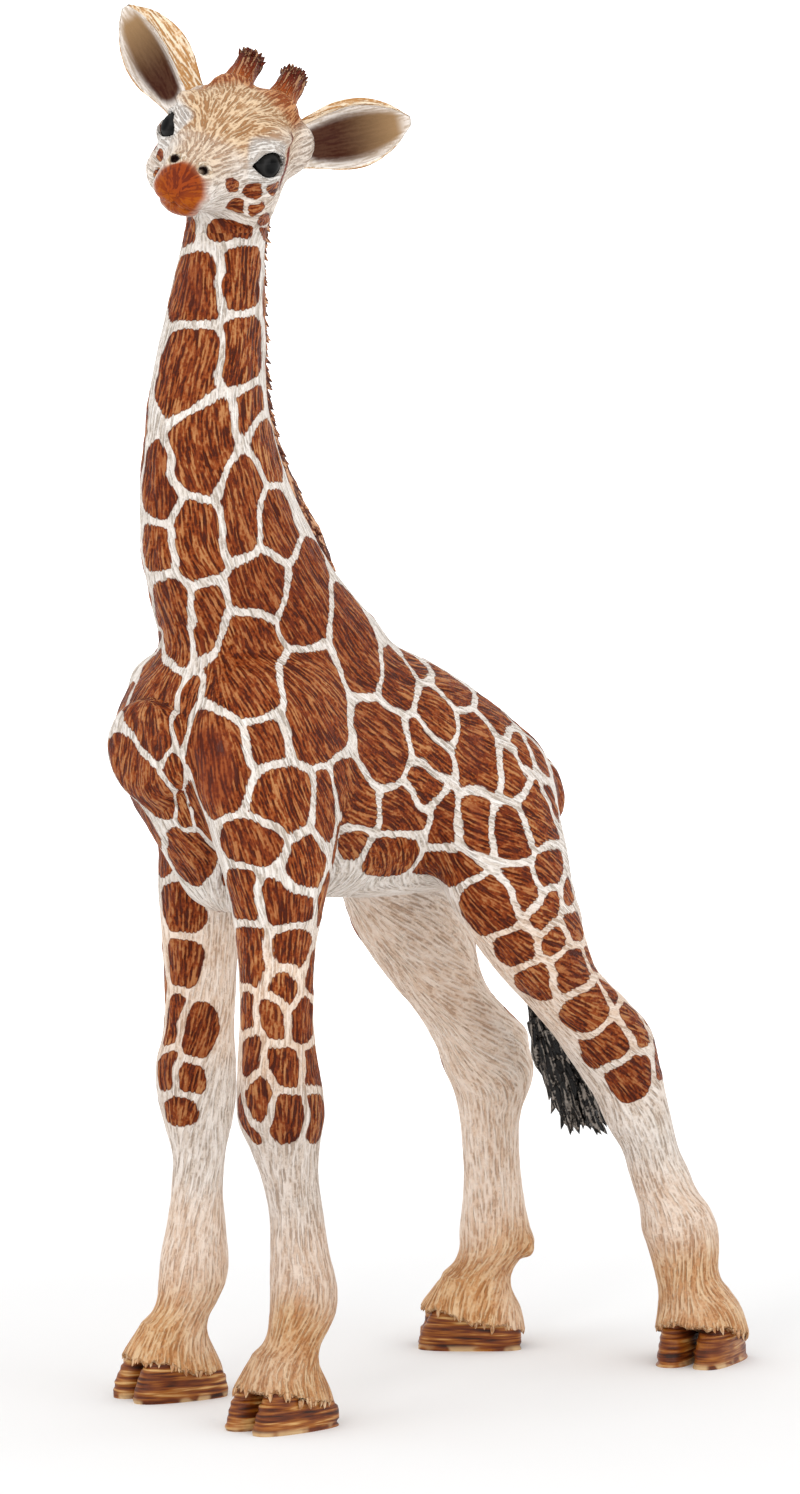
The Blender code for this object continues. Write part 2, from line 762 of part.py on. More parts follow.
def stem_rings():
    """The tail from its root in the rump down to the tuft."""
    rings = []
    for height, place, radius in STEM_SHARES:
        centre = Vector((0.0, along_trunk(place), LEG_LENGTH * height))
        rings.append(ring(centre, X, Y, TAIL_RADIUS * radius, TAIL_RADIUS * radius, SMALL_SIDES))
    return rings


def stem_end():
    """Centre of the lower end of the tail's stem."""
    height, place, _ = STEM_SHARES[-1]
    return Vector((0.0, along_trunk(place), LEG_LENGTH * height))


def tuft_skin():
    """The long hair at the end of the tail, slightly wavy where the locks part."""
    rings = []
    for along, back, radius in TUFT_SHARES:
        centre = stem_end() + Vector((0.0, TUFT_LENGTH * back, -GLUE_GAP - TUFT_LENGTH * along))
        points = ring(centre, X, Y, TUFT_RADIUS * radius, TUFT_RADIUS * radius, 2 * SMALL_SIDES)
        for step in range(0, len(points), 2):
            points[step] = points[step].lerp(centre, LOCK_SHARE)
        rings.append(points)
    return loft(rings)


def build():
    """Make every piece, join the pieces with pegs and stand the figure on the origin."""
    figure = bpy.data.objects.new("figure", None)
    bpy.context.scene.collection.objects.link(figure)
    head_pose = bpy.data.objects.new("head_pose", None)
    bpy.context.scene.collection.objects.link(head_pose)
    head_pose.parent = figure
    throat, _ = neck_centre(NECK_SHARES[THROAT_SEAM_ROW])
    turn = Matrix.Rotation(HEAD_TURN_ANGLE, 3, "Z") @ Matrix.Rotation(HEAD_NOD_ANGLE, 3, "X")
    turn = turn @ Matrix.Rotation(HEAD_TILT_ANGLE, 3, "Y")
    head_pose.location = throat + Vector(HEAD_SEAT)
    head_pose.rotation_euler = turn.to_euler()

    trunk = piece("trunk", trunk_skin(), figure, "coat")
    neck_foot = [neck_ring(row) for row in NECK_SHARES[:NECK_SEAM_ROW]]
    neck_foot.append(neck_ring(NECK_SHARES[NECK_SEAM_ROW], -SEAM_HALF))
    change(trunk, guide("neck_root", loft(neck_foot), figure), "UNION")
    for leg in LEGS:
        change(trunk, guide("upper_leg_" + leg, upper_leg_skin(leg), figure), "UNION")

    rows = [neck_ring(NECK_SHARES[NECK_SEAM_ROW], SEAM_HALF)]
    rows += [neck_ring(row) for row in NECK_SHARES[NECK_SEAM_ROW + 1:THROAT_SEAM_ROW]]
    rows.append(neck_ring(NECK_SHARES[THROAT_SEAM_ROW], -SEAM_HALF))
    neck = piece("neck", loft(rows), figure, "coat")
    neck_base, _ = neck_centre(NECK_SHARES[NECK_SEAM_ROW])
    seat("neck", neck, trunk, neck_base, -Z, NECK_PEG_RADIUS, NECK_PEG_LENGTH, figure)

    head = piece("head", head_skin(), head_pose, "face")
    change(head, guide("throat", throat_skin(), figure), "UNION")
    seat("throat", neck, head, throat, Z, THROAT_PEG_RADIUS, THROAT_PEG_LENGTH, figure)

    set_in("mane", mane_rings(), (trunk, neck, head), figure, "mane")

    for name, side in (("left", 1), ("right", -1)):
        set_in("ear_" + name, ear_rings(side), (head,), head_pose, "ear")
        set_in("ossicone_" + name, horn_rings(side), (head,), head_pose, "horn")
        eye_place = mirrored(head_point(EYE_SHARES), side)
        piece("eye_" + name, ball(eye_place, EYE_RADIUS), head_pose, "eye")
        hollow = guide("eye_socket_" + name, ball(eye_place, EYE_RADIUS + GLUE_GAP), head_pose)
        change(head, hollow, "DIFFERENCE")

    for leg in LEGS:
        limb = piece("leg_" + leg, leg_skin(leg), figure, "leg")
        seat("leg_" + leg, limb, trunk, leg_seam(leg), Z, LEG_PEG_RADIUS, LEG_PEG_LENGTH, figure)
        hoof = piece("hoof_" + leg, hoof_skin(leg), figure, "hoof")
        change(hoof, guide("cleft_" + leg, cleft_skin(leg), figure), "DIFFERENCE")
        centre, _, _, axis = coronet(leg)
        seat("hoof_" + leg, limb, hoof, centre, -axis, HOOF_PEG_RADIUS, HOOF_PEG_LENGTH, figure)

    stem = set_in("tail_stem", stem_rings(), (trunk,), figure, "coat")
    tuft = piece("tail_tuft", tuft_skin(), figure, "tuft")
    seat("tuft", stem, tuft, stem_end(), -Z, TAIL_PEG_RADIUS, TAIL_PEG_LENGTH, figure)
    return figure


def stand_on_origin(figure):
    """Move the whole figure so that the origin is under the middle of its bounding box."""
    bpy.context.view_layer.update()
    points = []
    for made in bpy.data.objects:
        if made.type == "MESH" and not made.hide_render:
            points += [made.matrix_world @ vertex.co for vertex in made.data.vertices]
    for axis in (0, 1):
        places = [point[axis] for point in points]
        figure.location[axis] = -(min(places) + max(places)) / 2


for old in list(bpy.data.objects):
    bpy.data.objects.remove(old)
stand_on_origin(build())
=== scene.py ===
"""Looks of a toy giraffe calf: hand-painted, moulded plastic on a pale studio floor.

The body is sculpted as one field of distances, blended from tubes and swellings, and each moulded
piece is the part of that skin between its seams. The coat is drawn by patches laid on the skin, and
the hair is cut into it along its own direction. Lengths are in metres, in the figure's own frame,
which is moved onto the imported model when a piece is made.
"""

from math import cos, pi, radians, sin

import bmesh
import bpy
import numpy as np
from mathutils import Euler, Matrix, Vector
from mathutils.bvhtree import BVHTree


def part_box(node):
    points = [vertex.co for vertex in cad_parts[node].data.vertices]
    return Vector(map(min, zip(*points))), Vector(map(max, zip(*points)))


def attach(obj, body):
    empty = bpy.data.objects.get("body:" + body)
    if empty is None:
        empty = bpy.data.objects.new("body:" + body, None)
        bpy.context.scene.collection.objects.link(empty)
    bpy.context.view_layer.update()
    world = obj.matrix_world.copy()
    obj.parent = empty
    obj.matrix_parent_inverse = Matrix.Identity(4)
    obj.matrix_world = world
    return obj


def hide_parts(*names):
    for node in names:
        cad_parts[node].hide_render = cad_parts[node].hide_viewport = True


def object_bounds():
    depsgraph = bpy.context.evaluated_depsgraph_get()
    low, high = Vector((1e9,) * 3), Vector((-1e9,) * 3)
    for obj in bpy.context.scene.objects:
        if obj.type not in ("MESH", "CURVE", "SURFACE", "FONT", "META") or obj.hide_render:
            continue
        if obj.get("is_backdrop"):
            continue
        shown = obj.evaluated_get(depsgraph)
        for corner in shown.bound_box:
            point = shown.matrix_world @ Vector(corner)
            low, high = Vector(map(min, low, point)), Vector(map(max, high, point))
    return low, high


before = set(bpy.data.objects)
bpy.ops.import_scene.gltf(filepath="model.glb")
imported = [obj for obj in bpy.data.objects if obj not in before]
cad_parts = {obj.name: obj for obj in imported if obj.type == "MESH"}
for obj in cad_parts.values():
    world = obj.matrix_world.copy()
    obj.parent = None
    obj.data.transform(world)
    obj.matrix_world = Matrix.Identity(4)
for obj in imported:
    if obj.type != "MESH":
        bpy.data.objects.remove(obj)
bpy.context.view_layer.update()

MM = 0.001

# Driving sizes, the same as those of the solids
LEG_LENGTH = 42.5 * MM
TRUNK_LENGTH = 45 * MM
TRUNK_WIDTH = 18.6 * MM
TRUNK_DEPTH = 22 * MM
NECK_LENGTH = 37.4 * MM
NECK_THICKNESS = 16.8 * MM
HEAD_LENGTH = 19.5 * MM
HEAD_WIDTH = 10.8 * MM
HEAD_DEPTH = 10.6 * MM
FRONT_GIRTH = 3.5 * MM
HIND_GIRTH = 4.2 * MM
FRONT_TRACK = 8.5 * MM
HIND_TRACK = 9.4 * MM
HOOF_LENGTH = 9.2 * MM
HOOF_WIDTH = 6.6 * MM
HOOF_HEIGHT = 2.8 * MM
CORONET_ANGLE = radians(13)
HEAD_TURN_ANGLE = radians(33.4)
HEAD_NOD_ANGLE = radians(-2.7)
HEAD_TILT_ANGLE = radians(20.3)
HEAD_SEAT = Vector((1.04, -0.84, 7.2)) * MM
EAR_SHIFT = Vector((-0.44, -0.48, 0.0)) * MM   # of the ears, against the rest of the head
EYE_RADIUS = 1.7 * MM
EYE_PLACE = Vector((3.46, -1.46, -0.32)) * MM
EYE_FACING = (0.80, -0.59, 0.08)
EYE_LEAN = radians(14)       # of the lids' line, up at the outer corner
LID_THICKNESS = 0.42 * MM
LID_HALF = 1.74              # half width of the opening between the lids, in millimetres
LID_LINE = 0.05              # height of the line between the lids over the middle of the eye
LID_RISE, LID_DROP = 1.12, 1.0   # height of the opening over and under that line
LID_STEEPNESS = 0.75         # which keeps the opening's distances near to true ones
EAR_LENGTH = 10.4 * MM
EAR_WIDTH = 5.8 * MM
EAR_CUP = 1.9 * MM
HORN_LENGTH = 3.6 * MM
HORN_RADIUS = 1.4 * MM
TAIL_RADIUS = 1.1 * MM
TUFT_LENGTH = 11.8 * MM
TUFT_RADIUS = 2.5 * MM
MANE_THICKNESS = 1.9 * MM
MANE_HEIGHT = 2.0 * MM
MANE_ROOT = 0.9 * MM
BELLY_HEIGHT = LEG_LENGTH * 0.965
NECK_ROOT_HEIGHT = BELLY_HEIGHT + TRUNK_DEPTH * 0.864
BREAST_PLACE = -37 * MM
FRONT_SEAM_SHARE = 1.0
HIND_SEAM_SHARE = 0.93

# Trunk sections: place along the trunk, half width, top and underside, as shares.
TRUNK_SHARES = (
    (0.000, 0.28, 0.74, 0.54),
    (0.045, 0.56, 0.87, 0.45),
    (0.133, 0.76, 1.02, 0.30),
    (0.244, 0.92, 1.08, 0.17),
    (0.378, 0.98, 1.08, 0.06),
    (0.511, 0.97, 1.02, 0.02),
    (0.644, 0.97, 0.93, 0.01),
    (0.756, 0.96, 0.81, 0.01),
    (0.844, 0.88, 0.68, 0.06),
    (0.920, 0.66, 0.55, 0.14),
    (0.966, 0.42, 0.46, 0.20),
)
# Neck sections: height, place across and along, half depth, and half width of the half depth.
NECK_SHARES = (
    (-0.160, 0.000, -1.190, 0.640, 0.62),
    (0.000, 0.000, -1.265, 0.615, 0.65),
    (0.115, 0.000, -1.345, 0.622, 0.65),
    (0.209, 0.000, -1.494, 0.552, 0.66),
    (0.299, 0.000, -1.600, 0.500, 0.68),
    (0.390, 0.000, -1.668, 0.442, 0.70),
    (0.433, 0.000, -1.697, 0.415, 0.72),
    (0.521, 0.000, -1.729, 0.366, 0.75),
    (0.610, 0.000, -1.748, 0.326, 0.78),
    (0.698, 0.000, -1.736, 0.296, 0.82),
    (0.783, 0.000, -1.704, 0.266, 0.87),
    (0.872, 0.000, -1.678, 0.238, 0.90),
    (0.957, 0.006, -1.650, 0.210, 0.93),
    (1.000, 0.012, -1.635, 0.202, 0.95),
    (1.055, 0.026, -1.625, 0.206, 0.95),
    (1.115, 0.030, -1.605, 0.216, 0.95),
    (1.190, 0.010, -1.560, 0.190, 0.95),
)
NECK_SEAM_SHARE = 0.209
THROAT_SEAM_SHARE = 1.0

# Legs: side, place of the seam along the trunk, turn of the hoof outwards, and track.
LEGS = {
    "front_left": (1, 0.167, radians(2), FRONT_TRACK),
    "front_right": (-1, 0.316, radians(10), FRONT_TRACK),
    "hind_left": (1, 0.756, radians(27), HIND_TRACK),
    "hind_right": (-1, 0.850, radians(43), HIND_TRACK),
}
# Leg sections: height and place along Y as shares of the leg's length, radius of its girth.
LEG_SHARES = {
    "front_left": (
        (1.000, 0.000, 1.06), (0.930, -0.002, 0.92), (0.830, -0.002, 0.86), (0.770, -0.002, 0.87),
        (0.715, 0.000, 0.92), (0.656, 0.006, 1.00), (0.598, 0.009, 1.00), (0.539, 0.019, 0.80),
        (0.478, 0.033, 0.66), (0.419, 0.047, 0.63), (0.339, 0.056, 0.68), (0.261, 0.067, 0.79),
        (0.221, 0.066, 0.78), (0.184, 0.052, 0.71), (0.148, 0.032, 0.65), (0.115, 0.014, 0.72),
        (0.085, 0.008, 0.90),
    ),
    "front_right": (
        (1.000, 0.000, 0.95), (0.930, 0.004, 0.93), (0.830, 0.005, 0.86), (0.770, 0.005, 0.83),
        (0.710, 0.000, 0.84), (0.654, -0.007, 0.94), (0.595, -0.006, 0.94), (0.530, -0.002, 0.80),
        (0.478, 0.000, 0.64), (0.398, -0.005, 0.62), (0.320, -0.008, 0.71), (0.262, -0.013, 0.81),
        (0.222, -0.018, 0.80), (0.180, -0.034, 0.71), (0.148, -0.054, 0.66), (0.115, -0.072, 0.74),
        (0.085, -0.079, 0.90),
    ),
    "hind_left": (
        (0.930, 0.000, 1.19), (0.873, 0.033, 1.08), (0.819, 0.073, 0.98), (0.760, 0.141, 1.00),
        (0.692, 0.214, 1.00), (0.628, 0.254, 0.88), (0.565, 0.289, 0.74), (0.480, 0.329, 0.64),
        (0.438, 0.353, 0.57), (0.395, 0.374, 0.60), (0.353, 0.395, 0.62), (0.311, 0.421, 0.71),
        (0.271, 0.433, 0.76), (0.228, 0.445, 0.71), (0.188, 0.452, 0.65), (0.146, 0.466, 0.68),
        (0.115, 0.484, 0.80), (0.085, 0.493, 0.88),
    ),
    "hind_right": (
        (0.930, 0.000, 1.24), (0.854, 0.026, 1.17), (0.809, 0.052, 1.08), (0.769, 0.075, 0.98),
        (0.725, 0.108, 0.91), (0.680, 0.155, 0.91), (0.635, 0.200, 0.98), (0.593, 0.219, 0.93),
        (0.553, 0.233, 0.90), (0.511, 0.240, 0.77), (0.470, 0.236, 0.64), (0.390, 0.238, 0.57),
        (0.308, 0.245, 0.60), (0.268, 0.247, 0.65), (0.226, 0.249, 0.71), (0.186, 0.244, 0.68),
        (0.150, 0.216, 0.60), (0.115, 0.195, 0.66), (0.085, 0.180, 0.84),
    ),
}
# Shoulders and thighs: height over the seam as a share of the trunk's depth, place across and along
# as shares of half its width and of its length, and radius of the girth.
UPPER_SHARES = {
    "front_left": (
        (0.07, -0.01, 0.002, 1.16), (0.16, -0.03, 0.007, 1.30), (0.25, -0.07, 0.011, 1.44),
        (0.35, -0.13, 0.016, 1.58), (0.44, -0.18, 0.020, 1.74), (0.54, -0.24, 0.027, 1.87),
        (0.63, -0.29, 0.031, 1.93), (0.72, -0.34, 0.038, 1.86), (0.82, -0.40, 0.051, 1.64),
        (0.91, -0.46, 0.060, 1.16), (0.98, -0.64, 0.060, 0.45),
    ),
    "front_right": (
        (0.06, -0.01, 0.000, 0.96), (0.16, -0.03, 0.003, 1.06), (0.26, -0.06, -0.011, 1.26),
        (0.37, -0.11, -0.044, 1.41), (0.47, -0.16, -0.069, 1.55), (0.58, -0.21, -0.091, 1.60),
        (0.67, -0.25, -0.091, 1.50), (0.77, -0.29, -0.087, 1.36), (0.87, -0.34, -0.089, 1.12),
        (0.96, -0.54, -0.078, 0.50),
    ),
    "hind_left": (
        (0.10, -0.06, -0.016, 1.28), (0.20, -0.13, -0.020, 1.32), (0.29, -0.19, -0.024, 1.35),
        (0.39, -0.26, -0.024, 1.33), (0.48, -0.32, -0.020, 1.27), (0.57, -0.39, -0.009, 1.12),
        (0.66, -0.46, 0.000, 0.84), (0.73, -0.58, 0.000, 0.36),
    ),
    "hind_right": (
        (0.10, -0.06, -0.030, 1.30), (0.20, -0.13, -0.050, 1.34), (0.29, -0.19, -0.070, 1.36),
        (0.39, -0.26, -0.085, 1.33), (0.48, -0.32, -0.090, 1.25), (0.57, -0.39, -0.080, 1.10),
        (0.66, -0.46, -0.070, 0.84), (0.73, -0.58, -0.070, 0.36),
    ),
}
# Cuff of hair over a hoof: height in millimetres, and length and width as shares of the hoof's.
CUFF_ROWS = (
    (0.3, 0.98, 1.04), (1.4, 0.97, 1.04), (2.4, 0.91, 0.98), (3.4, 0.80, 0.86), (4.6, 0.62, 0.70),
    (5.8, 0.42, 0.54),
)
HEM_SHARE = 0.88             # height of the hem over the middle of the hoof, of the hoof's height
HOOF_LIFT = 0.35 * MM        # how far a hoof goes up under its cuff
CLAW_LEVEL = 8.4 * MM        # of the two small claws behind a hind leg's fetlock
SHOULDER_FLAT_SHARE = 0.4
HOCK_SHARE = 0.69
LEG_CUT_HEIGHT = 39.5 * MM   # where a leg's skin is parted from the trunk's, clear of the belly
BRISKET = ((0.0, -30.5, 51.0), (0.0, -27.0, 46.0))   # ends of the muscle under the breast
BRISKET_RADIUS = 4.6 * MM
NECK_BLEND = 2.4 * MM        # how softly neck and breast run into the barrel
LEG_BLEND = 1.6 * MM
CUFF_TOP = 8 * MM            # height from which a leg widens into its cuff
CUFF_BLEND = 2.0 * MM
HEM_BLEND = 0.2 * MM         # roundness of the edges at the hem

# Head: sections of the skull in the head's own frame, which has X left, -Y forward and Z up from
# the point between the eyes: place along Y, half width, crown and jaw, in millimetres.
SKULL_ROWS = (
    (7.6, 2.0, 1.4, -2.0),
    (6.6, 3.7, 3.3, -3.8),
    (4.1, 4.9, 4.5, -5.6),
    (1.6, 5.0, 4.5, -6.1),
    (-1.0, 4.7, 3.6, -5.8),
    (-3.2, 3.8, 2.2, -5.6),
    (-5.5, 2.85, 0.8, -5.5),
    (-7.6, 2.2, -0.4, -5.5),
    (-9.1, 1.8, -1.4, -5.4),
    (-10.1, 1.35, -2.2, -5.1),
    (-10.7, 0.8, -3.0, -4.4),
)
# Swellings of the head: centre, radii, lean about X and turn about Z in degrees, and blend, in
# millimetres. Those beside the middle plane are mirrored.
HEAD_FORMS = (
    ((0, -8.6, -2.9), (2.35, 2.3, 1.85), 20, 0, 0.7),     # end of the nose
    ((0.95, -9.0, -4.0), (1.45, 1.8, 1.15), 0, 0, 0.5),   # upper lip
    ((0, -8.0, -5.25), (1.6, 1.7, 0.75), 0, 0, 0.45),     # chin
    ((3.3, 0.6, -3.6), (2.0, 3.6, 2.4), 0, 14, 1.2),      # cheek
    ((3.0, -0.6, 2.1), (2.0, 2.6, 1.1), 0, -18, 0.9),     # brow
    ((1.95, 4.0, 3.4), (1.9, 2.0, 1.7), 0, 0, 1.0),       # base of the horn
    ((4.1, 5.0, 1.0), (1.8, 1.9, 2.2), 0, 0, 1.0),        # base of the ear
)
NOSTRIL = (1.19, -9.35, -1.75)
NOSTRIL_WING, NOSTRIL_HOLE = (0.72, 0.6, 0.6), (0.34, 0.6, 0.28)   # half sizes
LIP_CORNER, LIP_FRONT, LIP_TIP = (2.4, -5.6, -4.4), (1.25, -9.5, -4.9), (0.0, -10.3, -4.75)
HORN_ROOT = (1.95, 4.0, 3.4)

# Roots of ear and horn, as shares of half the head's width, of its length and of its depth
EAR_SHARES = (0.80, 0.265, 0.10)
HORN_SHARES = (0.36, 0.225, 0.34)
EAR_LEAN = Vector((0.82, 0.14, 0.55)).normalized()
HORN_LEAN = Vector((0.0, 0.54, 0.84)).normalized()
# Ear: place along it, half width, back and hollow, as shares. A negative hollow is a rounded front.
EAR_SECTION_SHARES = (
    (-0.14, 0.34, 0.45, -0.45),
    (0.00, 0.60, 0.62, -0.45),
    (0.12, 0.68, 0.68, -0.30),
    (0.24, 0.80, 0.80, 0.10),
    (0.38, 0.95, 0.95, 0.50),
    (0.54, 1.00, 1.00, 0.62),
    (0.70, 0.88, 0.85, 0.48),
    (0.85, 0.60, 0.58, 0.22),
    (0.95, 0.30, 0.34, 0.06),
    (1.00, 0.12, 0.16, -0.10),
)
# Horn: place along it and radius, as shares.
HORN_SECTION_SHARES = (
    (-0.16, 1.05), (0.20, 0.95), (0.55, 0.80), (0.80, 0.78), (0.93, 0.72), (1.00, 0.50),
)
# Stem of the tail: height as a share of the leg's length, place along the trunk, and radius.
STEM_SHARES = (
    (1.165, 0.900, 1.00), (1.110, 0.965, 1.00), (1.020, 0.998, 0.92), (0.900, 1.008, 0.85),
    (0.800, 1.004, 0.78), (0.722, 1.000, 0.75),
)
# Tuft: place down it and shift backwards as shares of its length, and radius.
TUFT_SHARES = (
    (0.00, 0.000, 0.32), (0.08, 0.030, 0.40), (0.24, 0.140, 0.66), (0.45, 0.250, 0.86),
    (0.62, 0.330, 0.88), (0.76, 0.390, 0.80), (0.86, 0.430, 0.62), (0.91, 0.440, 0.36),
)
# Mane: place along the neck and height, as shares.
MANE_SHARES = (
    (0.212, 0.10), (0.250, 0.62), (0.320, 0.95), (0.400, 0.92), (0.500, 0.74), (0.600, 0.58),
    (0.700, 0.50), (0.800, 0.44), (0.900, 0.40), (1.000, 0.38), (1.070, 0.36), (1.130, 0.15),
)

# Patches of the coat as they are seen: place in the photograph, half width and half height, and
# lean to the right in degrees, all in its pixels. A sixth number is how smooth and dark it is.
PATCHES = (
    # neck
    (232, 232, 22, 9, 0, 0.5), (187, 232, 5, 16, 8), (192, 288, 25, 35, 8, 0.7),
    (243, 277, 20, 31, 2), (244, 354, 20, 36, 0), (187, 372, 29, 48, 14, 0.2),
    (203, 445, 33, 46, 8), (251, 409, 13, 27, 6), (268, 450, 11, 32, -15),
    (156, 482, 17, 38, -6), (242, 507, 21, 50, 2), (200, 540, 25, 39, -5), (154, 547, 14, 26, 0),
    (280, 525, 16, 34, -12), (261, 586, 27, 34, 0), (311, 592, 23, 52, 5),
    (172, 625, 17, 42, -12), (208, 620, 20, 36, 3, 0.4), (266, 228, 4, 12, 0),
    # shoulders and breast
    (246, 671, 39, 44, 0, 0.3), (317, 703, 32, 56, -8), (150, 703, 25, 42, 20),
    (155, 642, 5, 12, 20), (184, 712, 9, 39, 15), (214, 758, 31, 56, -12, 0.9),
    (268, 738, 23, 28, -15), (284, 798, 34, 31, 20), (325, 805, 11, 35, 2),
    (252, 842, 30, 21, 8, 0.3), (307, 863, 18, 29, 5), (140, 780, 20, 50, -28),
    (178, 790, 11, 40, -20), (197, 810, 8, 40, -27), (189, 855, 21, 28, -22),
    (162, 860, 6, 18, 0), (337, 847, 5, 26, 10),
    # barrel and rump
    (357, 640, 21, 56, -10), (398, 677, 17, 32, -5), (415, 664, 7, 24, -55),
    (450, 684, 10, 30, -50), (440, 717, 17, 32, -25), (382, 740, 24, 42, -8, 0.2),
    (430, 748, 13, 33, -35), (476, 751, 20, 39, -8, 0.5), (494, 712, 10, 24, -45),
    (521, 748, 8, 24, -22), (539, 757, 4, 22, -25), (514, 775, 13, 27, -12),
    (540, 815, 17, 32, -22), (552, 803, 4, 24, -15), (426, 786, 15, 19, -30),
    (400, 813, 22, 24, -30), (351, 793, 16, 34, -10), (444, 822, 13, 29, 12),
    (476, 823, 17, 33, -5, 0.8), (512, 835, 16, 31, -15), (355, 845, 13, 15, 0),
    (391, 857, 26, 19, -10), (448, 865, 29, 17, 5),
    # left thigh and hock
    (490, 907, 27, 28, 0), (521, 884, 16, 24, -25), (551, 867, 13, 19, -5),
    (548, 911, 10, 21, 30), (569, 893, 5, 13, -8), (556, 942, 10, 16, 20),
    (575, 926, 8, 17, -8), (516, 948, 20, 17, -5), (537, 982, 19, 18, 15),
    (573, 972, 18, 21, -5), (588, 1011, 21, 25, 20), (606, 1048, 25, 19, -20),
    (630, 1078, 22, 20, -15), (637, 1024, 8, 22, -35), (609, 991, 4, 15, -35),
    (645, 1015, 3, 15, -35), (659, 1058, 5, 20, -10), (590, 960, 3, 15, -25),
    # right front leg
    (181, 907, 20, 24, -10), (182, 962, 16, 25, -3), (174, 1023, 7, 27, 12),
    (198, 1031, 17, 23, 12), (166, 1072, 8, 20, 0), (189, 1080, 14, 16, -5),
    (178, 1109, 15, 14, 0),
    # left front leg
    (241, 896, 13, 27, -10), (289, 904, 27, 21, 8), (250, 957, 15, 31, -3),
    (292, 950, 21, 19, 5), (283, 987, 14, 18, -20), (247, 1009, 7, 21, 0),
    (274, 1020, 12, 23, -12), (304, 1022, 11, 22, 0), (252, 1059, 10, 22, 3),
    (284, 1067, 19, 20, -15), (314, 1068, 8, 21, -12), (259, 1098, 13, 22, 0),
    (289, 1119, 16, 24, 3), (318, 1115, 8, 24, 0), (245, 1119, 4, 24, -20),
    (324, 897, 4, 24, 12), (312, 972, 4, 20, 0),
)
CHEEK_SPOTS = (
    (232.6, 185.3, 4, 6, -15), (253.3, 189.2, 7, 5.5, 0), (236.5, 206.2, 8, 5.5, 10),
    (258.3, 208.6, 5.5, 5.5, 0), (274, 186.8, 7, 5, -45), (266, 218.5, 5, 4.5, 0),
    (159.4, 156, 2.5, 3.5, 0),
)


def lengths(values):
    """Millimetres as metres."""
    return np.array(values, float) * MM


def unit(vectors):
    """Vectors, one a row, made one long."""
    return vectors / np.maximum(np.linalg.norm(vectors, axis=-1, keepdims=True), 1e-12)


def eased(low, high, values):
    """0 below low and 1 above high, with a soft run between them."""
    part = np.clip((values - low) / (high - low), 0, 1)
    return part * part * (3 - 2 * part)


def mixed(start, end, part):
    """Directions between start and end, by a share for each point."""
    return start + (end - start) * np.asarray(part)[..., None]


# Distances. A form is a function that takes points and returns their distances to its skin, with
# the corners of the box that holds it, how softly it blends with what came before, and whether it
# adds to the body or is carved out of it.


def smoothed(rows, count=160):
    """The rows resampled along their first column, on smooth curves through the others."""
    rows = np.array(sorted(rows), float)
    at, values = rows[:, 0], rows[:, 1:]
    slope = np.gradient(values, at, axis=0)
    fine = np.linspace(at[0], at[-1], count)
    low = np.clip(np.searchsorted(at, fine, side="right") - 1, 0, len(at) - 2)
    span = (at[low + 1] - at[low])[:, None]
    part = (fine - at[low])[:, None] / span
    rest = 1 - part
    start = values[low] * (1 + 2 * part) * rest**2 + values[low + 1] * (1 + 2 * rest) * part**2
    return fine, start + span * (slope[low] * part * rest**2 - slope[low + 1] * part**2 * rest)


def tube(rows, axis, blend=0.0, power=2.0, rounding=0.0):
    """A form whose sections across an axis are ellipses: place, centre, half sizes and a turn."""
    at, values = smoothed(rows)
    others = [k for k in range(3) if k != axis]
    tilt = np.gradient(values[:, :2], at, axis=0)
    upright = 1 / np.sqrt(1 + (tilt**2).sum(1))

    def distance(points):
        place = np.clip(points[:, axis], at[0] + rounding, at[-1] - rounding)
        u0, v0, half_u, half_v, turn = (np.interp(place, at, column) for column in values.T)
        u, v = points[:, others[0]] - u0, points[:, others[1]] - v0
        u, v = u * np.cos(turn) + v * np.sin(turn), v * np.cos(turn) - u * np.sin(turn)
        if power == 2.0:
            size = np.sqrt((u / half_u)**2 + (v / half_v)**2)
        else:
            size = (np.abs(u / half_u)**power + np.abs(v / half_v)**power)**(1 / power)
        steep = np.sqrt((u / half_u**2)**2 + (v / half_v**2)**2)
        side = size * (size - 1) / np.maximum(steep, 1e-6) * np.interp(place, at, upright)
        past = points[:, axis] - place
        ended = np.hypot(np.maximum(side + rounding, 0), past) - rounding
        return np.where(past == 0, side, ended)

    reach = np.abs(values[:, 2:4]).max(1)[:, None]
    low, high = np.zeros(3), np.zeros(3)
    low[others], high[others] = (values[:, :2] - reach).min(0), (values[:, :2] + reach).max(0)
    low[axis], high[axis] = at[0], at[-1]
    return distance, low, high, blend, 1


def swelling(centre, radii, blend, turn=None, sign=1):
    """A form that is an ellipsoid, turned by a matrix."""
    centre, radii = np.array(centre, float), np.array(radii, float)
    turn = np.eye(3) if turn is None else np.array(turn, float)

    def distance(points):
        local = (points - centre) @ turn
        size = np.linalg.norm(local / radii, axis=1)
        steep = np.linalg.norm(local / radii**2, axis=1)
        return size * (size - 1) / np.maximum(steep, 1e-6)

    return distance, centre - radii.max(), centre + radii.max(), blend, sign


def bar(start, end, radius, blend, sign=1):
    """A form that is a round bar between two points."""
    start, end = np.array(start, float), np.array(end, float)
    along = end - start

    def distance(points):
        part = np.clip((points - start) @ along / (along @ along), 0, 1)
        return np.linalg.norm(points - start - part[:, None] * along, axis=1) - radius

    return distance, np.minimum(start, end) - radius, np.maximum(start, end) + radius, blend, sign


def joined(a, b, blend):
    """Two distances as one, with a soft crease of the given width."""
    if blend <= 0:
        return np.minimum(a, b)
    part = np.clip(0.5 + 0.5 * (b - a) / blend, 0, 1)
    return b + (a - b) * part - blend * part * (1 - part)


